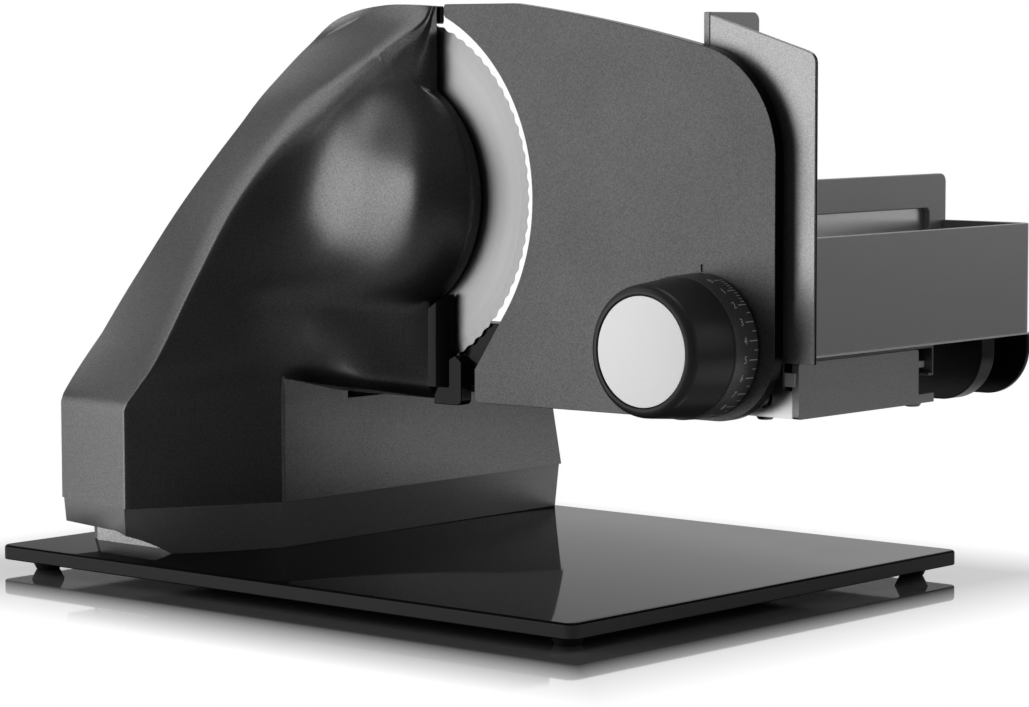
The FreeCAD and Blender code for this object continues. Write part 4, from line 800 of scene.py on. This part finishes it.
def between(rows, place):
    """Values at a place, on smooth curves through rows that each start with their place."""
    place = max(rows[0][0], min(rows[-1][0] - 0.001, place))
    i = max(k for k in range(len(rows) - 1) if rows[k][0] <= place)
    before, start, end, after = (rows[max(0, min(len(rows) - 1, i + k))]
                                 for k in (-1, 0, 1, 2))
    span = end[0] - start[0]
    t = (place - start[0]) / span
    found = []
    for k in range(1, len(start)):
        first = (end[k] - before[k]) / (end[0] - before[0]) * span
        last = (after[k] - start[k]) / (after[0] - start[0]) * span
        found.append((2 * t**3 - 3 * t**2 + 1) * start[k] + (t**3 - 2 * t**2 + t) * first
                     + (3 * t**2 - 2 * t**3) * end[k] + (t**3 - t**2) * last)
    return found


def soft_least(a, b, width):
    """The lesser of two depths, with a smooth passage between them."""
    h = max(0.0, min(1.0, 0.5 + 0.5 * (b - a) / width))
    return b + (a - b) * h - width * h * (1 - h)


def spline(share, count):
    """First control and the four weights of a smooth curve at a share of its length."""
    place = min(max(share, 0.0), 0.999999) * (count - 3)
    first = int(place)
    t = place - first
    return first, ((1 - t)**3 / 6, (3 * t**3 - 6 * t**2 + 4) / 6,
                   (1 + 3 * t + 3 * t**2 - 3 * t**3) / 6, t**3 / 6)


def swell(across, z):
    """How far the dark face lies behind the straight line from the ridge to the rim."""
    height = (z - TOWER[0][0]) / (TOWER[-1][0] - TOWER[0][0])
    row, row_weights = spline(height, len(FACE))
    column, weights = spline(across, len(FACE[0]))
    hollow = sum(a * b * FACE[row + i][column + k]
                 for i, a in enumerate(row_weights) for k, b in enumerate(weights))
    return 4 * across * (1 - across) * hollow


def rim_x(z):
    """Where the tower ends towards the blade, softly rounded at the rim's two corners."""
    arc = math.sqrt(max(0.0, RIM * RIM - z * z))
    return -soft_least(-EDGE_X, -arc, 8.0)


def rim_depth(z):
    """Depth of the housing's blade-side rim."""
    return RIM_Y if abs(z) < RIM_CORNER else between(TOWER, z)[2]


def near_depth(x, z):
    """Depth of the light near face, which turns away from the ridge in a shallow bend."""
    ridge_x, yaw, _ = between(TOWER, z)
    away = max(0.0, ridge_x - x)
    behind = min(24.0, max(0.0, x - ridge_x + 14.0))
    bend = NEAR_BEND * min(1.0, max(0.0, (z - TOWER[0][0]) / 30.0))
    depth = ridge_depth(z) + yaw * (ridge_x - x)
    depth += 0.25 * bend * away**2 + bend * (behind**2 - 14.0**2)
    return soft_least(depth, -1.5, 2.0)


def ridge_depth(z):
    """Depth of the leaning ridge at a height."""
    return RIDGE_FOOT_Y + RIDGE_SLOPE * (max(z, TOWER[0][0]) - TOWER[0][0])


def housing_depth(x, z):
    """Depth of the housing's motor side at a place seen from the front."""
    ridge_x, _, edge_y = between(TOWER, z)
    ridge_y = ridge_depth(z)
    across = min(1.0, (x - ridge_x) / (rim_x(z) - ridge_x))
    face = ridge_y + across * (edge_y - ridge_y)
    if across > 0:
        face += swell(across, z)
    else:
        face += across * swell(0.001, z) / 0.001
    return -soft_least(-near_depth(x, z), -face, sizes().ridge_round / MM)


def left_outline(share):
    """Left and top outline of the tower, from its foot's deck at 0 to the crest at 1."""
    points = [Vector(point) for point in LEFT_OUTLINE]
    line = [points[0], points[1]]
    for i in range(1, len(points) - 1):
        p0, p1, p2 = points[i - 1], points[i], points[i + 1]
        p3 = points[min(len(points) - 1, i + 2)]
        for k in range(1, 7):
            t = k / 6
            line.append(0.5 * (2 * p1 + (p2 - p0) * t + (2 * p0 - 5 * p1 + 4 * p2 - p3) * t * t
                               + (3 * p1 - p0 - 3 * p2 + p3) * t**3))
    return along_line(line, share)


def right_outline(share):
    """Blade-side outline of the tower: upright edge, rim of the dome, upright edge."""
    corner = math.asin(RIM_CORNER / RIM)
    line = [Vector((EDGE_X, -95.0))]
    for i in range(49):
        turn = corner * (i / 24 - 1)
        line.append(RIM * Vector((math.cos(turn), math.sin(turn))))
    line.append(Vector((EDGE_X, 88.5)))
    return along_line(line, share)


def along_line(line, s):
    """The point at a share of a line's whole length."""
    lengths = [0.0]
    for a, b in zip(line, line[1:]):
        lengths.append(lengths[-1] + (b - a).length)
    goal = max(0.0, min(1.0, s)) * lengths[-1]
    for i in range(len(line) - 1):
        if goal <= lengths[i + 1] + 1e-9:
            step = lengths[i + 1] - lengths[i]
            return line[i].lerp(line[i + 1], (goal - lengths[i]) / step if step else 0.0)
    return line[-1]


class SLICER_OT_housing(bpy.types.Operator):
    """Model the cast housing: leaning tower, dome and foot in one skin"""

    bl_idname = "slicer.housing"
    bl_label = "Housing"

    # columns from the left outline to the ridge, across it, to the waist and to the rim
    spans = (16, 12, 22, 34)
    low_rows = 14
    tower_rows = 84
    # half width of the fine columns beside the ridge, share of the rows where the waist forms
    ridge_band = 3.2
    waist_rise = 0.35

    def execute(self, context):
        columns = sum(self.spans)
        rows = self.low_rows + self.tower_rows
        take(None)
        bpy.ops.mesh.primitive_grid_add(x_subdivisions=columns, y_subdivisions=rows, size=1,
                                        location=(0, 0, 0))
        skin = context.object
        skin.name = skin.data.name = "housing"
        self.shape_front(skin, columns, rows)
        self.close_back(skin)
        under = prism("underside", UNDERSIDE + ((9.0, -120.0), (-130.0, -120.0)), 0,
                      FOOT_RIGHT, 70.0)
        combine(skin, under)
        combine(skin, disc("blade_recess", 86.0, -3.0, 12.0, sides=192))
        combine(skin, disc("hub_hole", 20.0, -7.0, 0.0, sides=96))
        soften(skin, sizes().cast_edge, 3, 42.0)
        bpy.ops.object.modifier_add(type="WEIGHTED_NORMAL")
        skin.modifiers[-1].keep_sharp = True
        bpy.ops.object.modifier_apply(modifier=skin.modifiers[-1].name)
        crest = block("housing_crest", (28.0, -2.6, 80.5), (32.0, 1.4, 88.4))
        soften(crest, 0.0008, 3)
        # painted shade: the whole crest is marked as rim, so it turns near-black like the shaded wall
        # below it
        paint_rim(crest, lambda f: True)
        cast = slot_finishes()["anthracite_cast"]
        place_piece(skin, "machine", "anthracite_cast", cast, "housing_tower", "housing_foot")
        place_piece(crest, "machine", "anthracite_cast", cast)
        return {"FINISHED"}

    def knots(self, row):
        """Five places of a row: left outline, both sides of the ridge, waist and rim."""
        if row < self.low_rows:
            z = FOOT_SEAM + (FOOT_TOP - FOOT_SEAM) * row / self.low_rows
            left, right = Vector((FOOT_LEFT, z)), Vector((EDGE_X, z))
        else:
            t = (row - self.low_rows) / self.tower_rows
            left, right = left_outline(t), right_outline(t)

        def on_row(x):
            share = (x - left.x) / (right.x - left.x)
            return left.lerp(right, max(0.02, min(0.98, share)))

        ridge = left
        for _ in range(16):
            ridge = on_row(between(TOWER, ridge.y)[0])
        near = min(self.ridge_band, 0.3 * (ridge.x - left.x))
        far = min(self.ridge_band, 0.3 * (right.x - ridge.x))
        rise = max(0.0, min(1.0, (row - self.low_rows) / (self.waist_rise * self.tower_rows)))
        rise *= rise * (3 - 2 * rise)
        middle_x = max(0.0, ridge.x + far + 0.3 * (right.x - ridge.x - far))
        waist = on_row(max(FOOT_RIGHT + rise * (middle_x - FOOT_RIGHT), ridge.x + far + 2))
        return left, on_row(ridge.x - near), on_row(ridge.x + far), waist, right

    def tuck(self, x, depth, z):
        """How far the dark face turns inwards above the underside."""
        (y1, z1), (y2, z2) = UNDERSIDE[1:3]
        above = z - z1 - (depth - y1) * (z2 - z1) / (y2 - y1)
        inside = max(0.0, min(1.0, (x - FOOT_RIGHT) / 8.0))
        return inside * max(0.0, 7.0 - above) ** 2 / 12.0

    def shape_front(self, skin, columns, rows):
        """Moves the grid's corners onto the housing's motor side."""
        spots = []
        for row in range(rows + 1):
            knots = self.knots(row)
            line = [knots[0]]
            for start, end, count in zip(knots, knots[1:], self.spans):
                line += [start.lerp(end, i / count) for i in range(1, count + 1)]
            lift = rim_depth(line[-1].y) - housing_depth(*line[-1])
            for i, (x, z) in enumerate(line):
                near_rim = max(0.0, 1 - (line[-1] - line[i]).length / 9.0)
                depth = housing_depth(x, z)
                if row >= self.low_rows:
                    depth += lift * near_rim * near_rim
                    depth += self.tuck(x, depth, z)
                spots.append(at(x, depth, z))
        beside_foot = set()
        for vertex in skin.data.vertices:
            column = round((vertex.co.x + 0.5) * columns)
            row = round((vertex.co.y + 0.5) * rows)
            vertex.co = spots[row * (columns + 1) + column]
            if row < self.low_rows and column > columns - self.spans[-1]:
                beside_foot.add(vertex.index)
        select(skin, "VERT", lambda v: v.index in beside_foot)
        bpy.ops.mesh.delete(type="VERT")
        leave_edit()

    def close_back(self, skin):
        """Carries the front's border to the food side and closes foot and tower."""
        select(skin, "EDGE", lambda e: e.is_boundary)
        extrude(skin, (0, 0.01, 0))
        shape = bmesh.from_edit_mesh(skin.data)
        for vertex in shape.verts:
            if vertex.select:
                vertex.co.y = at(0, FOOD_FACE, 0).y
        bmesh.update_edit_mesh(skin.data)
        leave_edit()

        def on_back(vertex):
            return abs(mm(vertex.co).y - FOOD_FACE) < 0.02

        select(skin, "VERT", lambda v: on_back(v) and mm(v.co).z < FOOT_TOP + 0.02
               and mm(v.co).x < FOOT_RIGHT + 0.02)
        bpy.ops.mesh.edge_face_add()
        leave_edit()
        select(skin, "VERT", lambda v: on_back(v) and (mm(v.co).z > FOOT_TOP - 0.02))
        bpy.ops.mesh.edge_face_add()
        leave_edit()
        far = node_box("housing_foot")[1].y
        select(skin, "FACE", lambda f: abs(f.normal.y) > 0.99 and len(f.verts) > 20
               and mm(f.calc_center_median()).z < FOOT_TOP)
        extrude(skin, (0, far - FOOD_FACE, 0))
        leave_edit()
        select(skin, "VERT", lambda v: mm(v.co).y > FOOD_FACE + 1)
        shape = bmesh.from_edit_mesh(skin.data)
        for vertex in shape.verts:
            if vertex.select:
                rise = mm(vertex.co).z - FOOT_SEAM
                vertex.co.y -= FOOT_DRAFT * rise / (FOOT_TOP - FOOT_SEAM) * MM
        bmesh.update_edit_mesh(skin.data)
        bpy.ops.mesh.select_all(action="SELECT")
        bpy.ops.mesh.remove_doubles(threshold=1e-6)
        bpy.ops.mesh.normals_make_consistent(inside=False)
        leave_edit()


class SLICER_OT_dial(bpy.types.Operator):
    """Model the dial: grip with a rounded nose, scale ring and brushed cap"""

    bl_idname = "slicer.dial"
    bl_label = "Dial"

    def execute(self, context):
        finishes = slot_finishes()
        nose = [(25.1 + 4.0 * math.sin(math.radians(a)), -43.5 - 4.0 * math.cos(math.radians(a)))
                for a in range(0, 91, 10)]
        grip = turned("dial_body", [(24.7, -46.0), (24.7, -47.3)] + nose
                      + [(29.3, -42.0), (31.1, -21.6), (30.8, -21.3), (26.0, -21.3),
                         (26.0, -43.3), (24.7, -46.0)], DIAL_X, DIAL_Z, 160)
        place_piece(smooth(grip, 30), "dial", "black_satin", finishes["dial_black"], "dial_grip")
        ring = turned("dial_ring", [(26.5, -21.2), (31.2, -21.2), (31.6, -20.8), (32.0, -6.0),
                                    (31.5, -5.4), (26.5, -5.4), (26.5, -21.2)],
                      DIAL_X, DIAL_Z, 160)
        place_piece(smooth(ring, 30), "dial", "black_satin", finishes["ring_black"], "scale_ring")
        cap = turned("dial_plate", [(24.4, -46.3), (24.4, -46.9), (24.1, -47.2), (23.0, -47.3)],
                     DIAL_X, DIAL_Z, 128)
        smooth(cap, 20)
        select(cap, "FACE", lambda f: len(f.verts) > 20)
        bpy.ops.mesh.delete(type="FACE")
        leave_edit()
        select(cap, "EDGE", lambda e: e.is_boundary and middle(e).y < -47.2)
        bpy.ops.mesh.edge_face_add()
        leave_edit()
        select(cap, "EDGE", lambda e: e.is_boundary)
        bpy.ops.mesh.edge_face_add()
        bpy.ops.mesh.select_all(action="SELECT")
        bpy.ops.mesh.normals_make_consistent(inside=False)
        leave_edit()
        place_piece(cap, "dial", "cap_aluminium", finishes["cap_aluminium"], "dial_cap")
        return {"FINISHED"}


class SLICER_OT_dial_marks(bpy.types.Operator):
    """Print the numbers and lines on the scale ring"""

    bl_idname = "slicer.dial_marks"
    bl_label = "Numbers on the dial"

    last_number = 20

    def execute(self, context):
        marks = []
        for number in range(self.last_number + 1):
            turn = sizes().first_number + sizes().number_step * number
            marks.append(self.numeral(str(number), turn))
            marks.append(self.line(turn, 5.4, 0.42))
            parts = 5 if number < 2 else 2
            if number < self.last_number:
                for part in range(1, parts):
                    marks.append(self.line(turn + sizes().number_step * part / parts, 2.5, 0.36))
        take(marks[0])
        for mark in marks[1:]:
            mark.select_set(True)
        bpy.ops.object.join()
        joined = context.object
        joined.name = joined.data.name = "dial_marks"
        place_piece(joined, "dial", "glide_white", slot_finishes()["scale_paint"])
        return {"FINISHED"}

    def around(self, along, across, turn, lift):
        """A place on the ring: along the axis from its back edge and across from a turn."""
        radius = 31.6 + 0.4 * (along + 20.9) / 15 + lift
        turn = turn - across / radius
        return at(DIAL_X + radius * math.sin(turn), along, DIAL_Z + radius * math.cos(turn))

    def numeral(self, text, turn):
        take(None)
        bpy.ops.object.text_add(location=(0, 0, 0))
        mark = bpy.context.object
        mark.data.body = text
        mark.data.align_x = "RIGHT"
        mark.data.align_y = "CENTER"
        mark.data.size = sizes().numeral_height / MM
        mark.data.extrude = 0.04
        take(mark)
        bpy.ops.object.convert(target="MESH")
        mark = bpy.context.object
        for vertex in mark.data.vertices:
            u, v, w = vertex.co
            vertex.co = self.around(-13.4 + u * 0.85, v, turn, 0.06 + w)
        return mark

    def line(self, turn, length, width):
        take(None)
        bpy.ops.mesh.primitive_cube_add(size=1, location=(0, 0, 0))
        mark = bpy.context.object
        for vertex in mark.data.vertices:
            u, v, w = vertex.co
            vertex.co = self.around(-6.4 - length * (0.5 - u), v * width, turn, 0.05 + w * 0.08)
        return mark


def arc_points(start, through, end, count):
    """Places along the circle through three points, without the first."""
    a, b, c = (Vector(point) for point in (start, through, end))
    d = 2 * (a.x * (b.y - c.y) + b.x * (c.y - a.y) + c.x * (a.y - b.y))
    ux = (a.length_squared * (b.y - c.y) + b.length_squared * (c.y - a.y)
          + c.length_squared * (a.y - b.y)) / d
    uy = (a.length_squared * (c.x - b.x) + b.length_squared * (a.x - c.x)
          + c.length_squared * (b.x - a.x)) / d
    hub = Vector((ux, uy))
    first = math.atan2(a.y - uy, a.x - ux)
    last = math.atan2(c.y - uy, c.x - ux)
    middle_turn = math.atan2(b.y - uy, b.x - ux)
    full = 2 * math.pi
    sweep = (last - first) % full
    if (middle_turn - first) % full > sweep:
        sweep -= full
    return [hub + (a - hub).length * Vector((math.cos(first + sweep * i / count),
                                             math.sin(first + sweep * i / count)))
            for i in range(1, count + 1)]


class SLICER_OT_stop_plate(bpy.types.Operator):
    """Model the stop plate with its hollow edge round the blade"""

    bl_idname = "slicer.stop_plate"
    bl_label = "Stop plate"

    def execute(self, context):
        outline = [Vector((37.2, 89.3)), Vector((80, 89.3))]
        outline += arc_points((80, 89.3), (137, 80.8), (190, 69.9), 28)
        outline += arc_points((190, 69.9), (219, 52), (230, 24), 20)
        outline.append(Vector((230, -62)))
        outline += arc_points((230, -62), (220.5, -85), (197, -94.4), 20)
        outline += [Vector((55.7, -95.5)), Vector((55.7, -80))]
        low, high = math.radians(-35), math.radians(66)
        outline += [91.4 * Vector((math.cos(low + (high - low) * i / 60),
                                   math.sin(low + (high - low) * i / 60))) for i in range(61)]
        plate = prism("stop_plate_skin", outline, 1, -5.0, 1.0)
        round_edges(plate, 1, 1.6, lambda c: c.x < 40 and c.z > 80, 5)
        round_edges(plate, 1, 2.5, lambda c: c.x < 57 and c.z < -90, 5)
        combine(plate, block("arm_slot", (DIAL_X - 5.5, -6, -90.0), (DIAL_X + 5.5, 2, -76.5)))
        combine(plate, block("index_mark", (DIAL_X - 0.6, -6, -28.9), (DIAL_X + 0.6, -4.4, -25.9)))
        soften(plate, 0.0007, 3)
        # painted shade: the plate's side faces turn near-black through their rim mark
        paint_rim(plate, lambda f: abs(f.normal.y) < 0.35)
        place_piece(plate, "stop", "anthracite_plate", slot_finishes()["anthracite_plate"],
                    "stop_plate")
        return {"FINISHED"}


class SLICER_OT_blade(bpy.types.Operator):
    """Model the blade with its bevel and fine waves"""

    bl_idname = "slicer.blade"
    bl_label = "Blade"

    # mean radius of the edge, radius where the waves start, their number and depth
    edge = 84.55
    wave_start = 80.0
    waves = 80
    wave_depth = 0.4

    def execute(self, context):
        profile = ((8.0, -0.6), (70.0, -0.6), (76.0, -0.6), (77.0, -0.55), (81.0, -0.18),
                   (83.0, 0.02), (self.edge, 0.2), (self.edge, 0.45), (84.2, 0.6), (8.0, 0.6),
                   (8.0, -0.6))
        blade = turned("blade_skin", profile, sides=960)
        select(blade, "VERT", lambda v: math.hypot(mm(v.co).x, mm(v.co).z) > self.wave_start)
        shape = bmesh.from_edit_mesh(blade.data)
        hub = at(0, 0, 0)
        for vertex in shape.verts:
            if vertex.select:
                arm = vertex.co - hub
                radius = math.hypot(arm.x, arm.z) / MM
                wave = self.wave_depth * math.cos(self.waves * math.atan2(arm.z, arm.x))
                share = (radius - self.wave_start) / (self.edge - self.wave_start)
                grow = 1 + wave * share / radius
                vertex.co = hub + Vector((arm.x * grow, arm.y, arm.z * grow))
        bmesh.update_edit_mesh(blade.data)
        leave_edit()
        place_piece(smooth(blade, 3.5), "blade_group", "blade_steel",
                    slot_finishes()["blade_steel"], "blade")
        return {"FINISHED"}


class SLICER_OT_deflector(bpy.types.Operator):
    """Model the slice deflector below the dome's rim"""

    bl_idname = "slicer.deflector"
    bl_label = "Slice deflector"

    def execute(self, context):
        scraper = block("deflector_skin", (31.0, -10.0, -89.0), (40.3, -1.6, -42.0))
        round_edges(scraper, 2, 6.0, lambda c: c.x > 40 and c.y < -9.9, 10)
        combine(scraper, disc("dome_room", 61.0, -12.0, 0.0, sides=160))
        soften(scraper, 0.0005, 3)
        place_piece(scraper, "machine", "black_gloss", slot_finishes()["black_gloss"],
                    "slice_deflector")
        return {"FINISHED"}


class Softened:
    """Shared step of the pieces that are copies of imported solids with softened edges."""

    # nodes with the width of their softened edges in metres
    widths = ()
    # axis of a plate's faces, where its rim has a finish of its own: painted shade on the finger guard,
    # a ground edge on the glass
    plate_axis = None

    def execute(self, context):
        for node, width in self.widths:
            piece = dressed_copy(node, width)
            if self.plate_axis is not None:
                paint_rim(piece, lambda f: abs(f.normal[self.plate_axis]) < 0.35)
            place_piece(piece, BODIES[node], SLOTS[node], slot_finishes()[SLOTS[node]], node)
        return {"FINISHED"}


class SLICER_OT_glass_plate(Softened, bpy.types.Operator):
    """Soften the edges of the glass base plate"""

    bl_idname = "slicer.glass_plate"
    bl_label = "Glass plate"
    widths = (("glass_base", 0.0006),)
    plate_axis = 2


class SLICER_OT_foot_parts(Softened, bpy.types.Operator):
    """Soften the base pan, the deflector's foot and the rubber feet"""

    bl_idname = "slicer.foot_parts"
    bl_label = "Pan and feet"
    widths = (("base_pan", 0.0008), ("deflector_foot", 0.0005), ("rubber_feet", 0.0005))


class SLICER_OT_finger_guard(Softened, bpy.types.Operator):
    """Soften the edges of the finger guard"""

    bl_idname = "slicer.finger_guard"
    bl_label = "Finger guard"
    widths = (("finger_guard", 0.0004),)
    # the guard's rim faces get near-black painted shade
    plate_axis = 1


class SLICER_OT_carriage(Softened, bpy.types.Operator):
    """Soften the carriage's pusher, hand box, tray, channel and skirt"""

    bl_idname = "slicer.carriage"
    bl_label = "Carriage"
    widths = (("pusher_wall", 0.0005), ("pusher_liner", 0.0002), ("hand_box", 0.0004),
              ("tray_plate", 0.0002), ("runner_channel", 0.0003), ("end_skirt", 0.0006))


class SLICER_OT_rail(Softened, bpy.types.Operator):
    """Soften the hollow rail with its sheet, end cap, glide strips and studs"""

    bl_idname = "slicer.rail"
    bl_label = "Rail"
    widths = (("rail_sides", 0.0003), ("rail_cover", 0.0003), ("rail_sheet", 0.0002),
              ("rail_end_cap", 0.0004), ("glide_strips", 0.0003), ("rail_studs", 0.0003))


CLASSES = (
    SlicerSizes,
    SlicerColours,
    SLICER_OT_stage,
    SLICER_OT_plain_nodes,
    SLICER_OT_housing,
    SLICER_OT_dial,
    SLICER_OT_dial_marks,
    SLICER_OT_stop_plate,
    SLICER_OT_blade,
    SLICER_OT_deflector,
    SLICER_OT_glass_plate,
    SLICER_OT_foot_parts,
    SLICER_OT_finger_guard,
    SLICER_OT_carriage,
    SLICER_OT_rail,
)


class SLICER_PT_panel(bpy.types.Panel):
    """Sizes, colours and pieces of the slicer"""

    bl_idname = "SLICER_PT_panel"
    bl_label = "Food Slicer"
    bl_space_type = "VIEW_3D"
    bl_region_type = "UI"
    bl_category = "Slicer"

    def draw(self, context):
        layout = self.layout
        for group in (context.scene.slicer_sizes, context.scene.slicer_colours):
            box = layout.box()
            for key in group.__annotations__:
                box.prop(group, key)
        for kind in CLASSES:
            if issubclass(kind, bpy.types.Operator):
                layout.operator(kind.bl_idname)


def register():
    for kind in CLASSES:
        bpy.utils.register_class(kind)
    bpy.utils.register_class(SLICER_PT_panel)
    bpy.types.Scene.slicer_sizes = bpy.props.PointerProperty(type=SlicerSizes)
    bpy.types.Scene.slicer_colours = bpy.props.PointerProperty(type=SlicerColours)


def unregister():
    del bpy.types.Scene.slicer_colours
    del bpy.types.Scene.slicer_sizes
    bpy.utils.unregister_class(SLICER_PT_panel)
    for kind in reversed(CLASSES):
        bpy.utils.unregister_class(kind)


def main():
    register()
    bpy.ops.slicer.stage()
    bpy.ops.slicer.plain_nodes()
    bpy.ops.slicer.housing()
    bpy.ops.slicer.dial()
    bpy.ops.slicer.dial_marks()
    bpy.ops.slicer.stop_plate()
    bpy.ops.slicer.blade()
    bpy.ops.slicer.deflector()
    bpy.ops.slicer.glass_plate()
    bpy.ops.slicer.foot_parts()
    bpy.ops.slicer.finger_guard()
    bpy.ops.slicer.carriage()
    bpy.ops.slicer.rail()


if __name__ == "__main__":
    main()
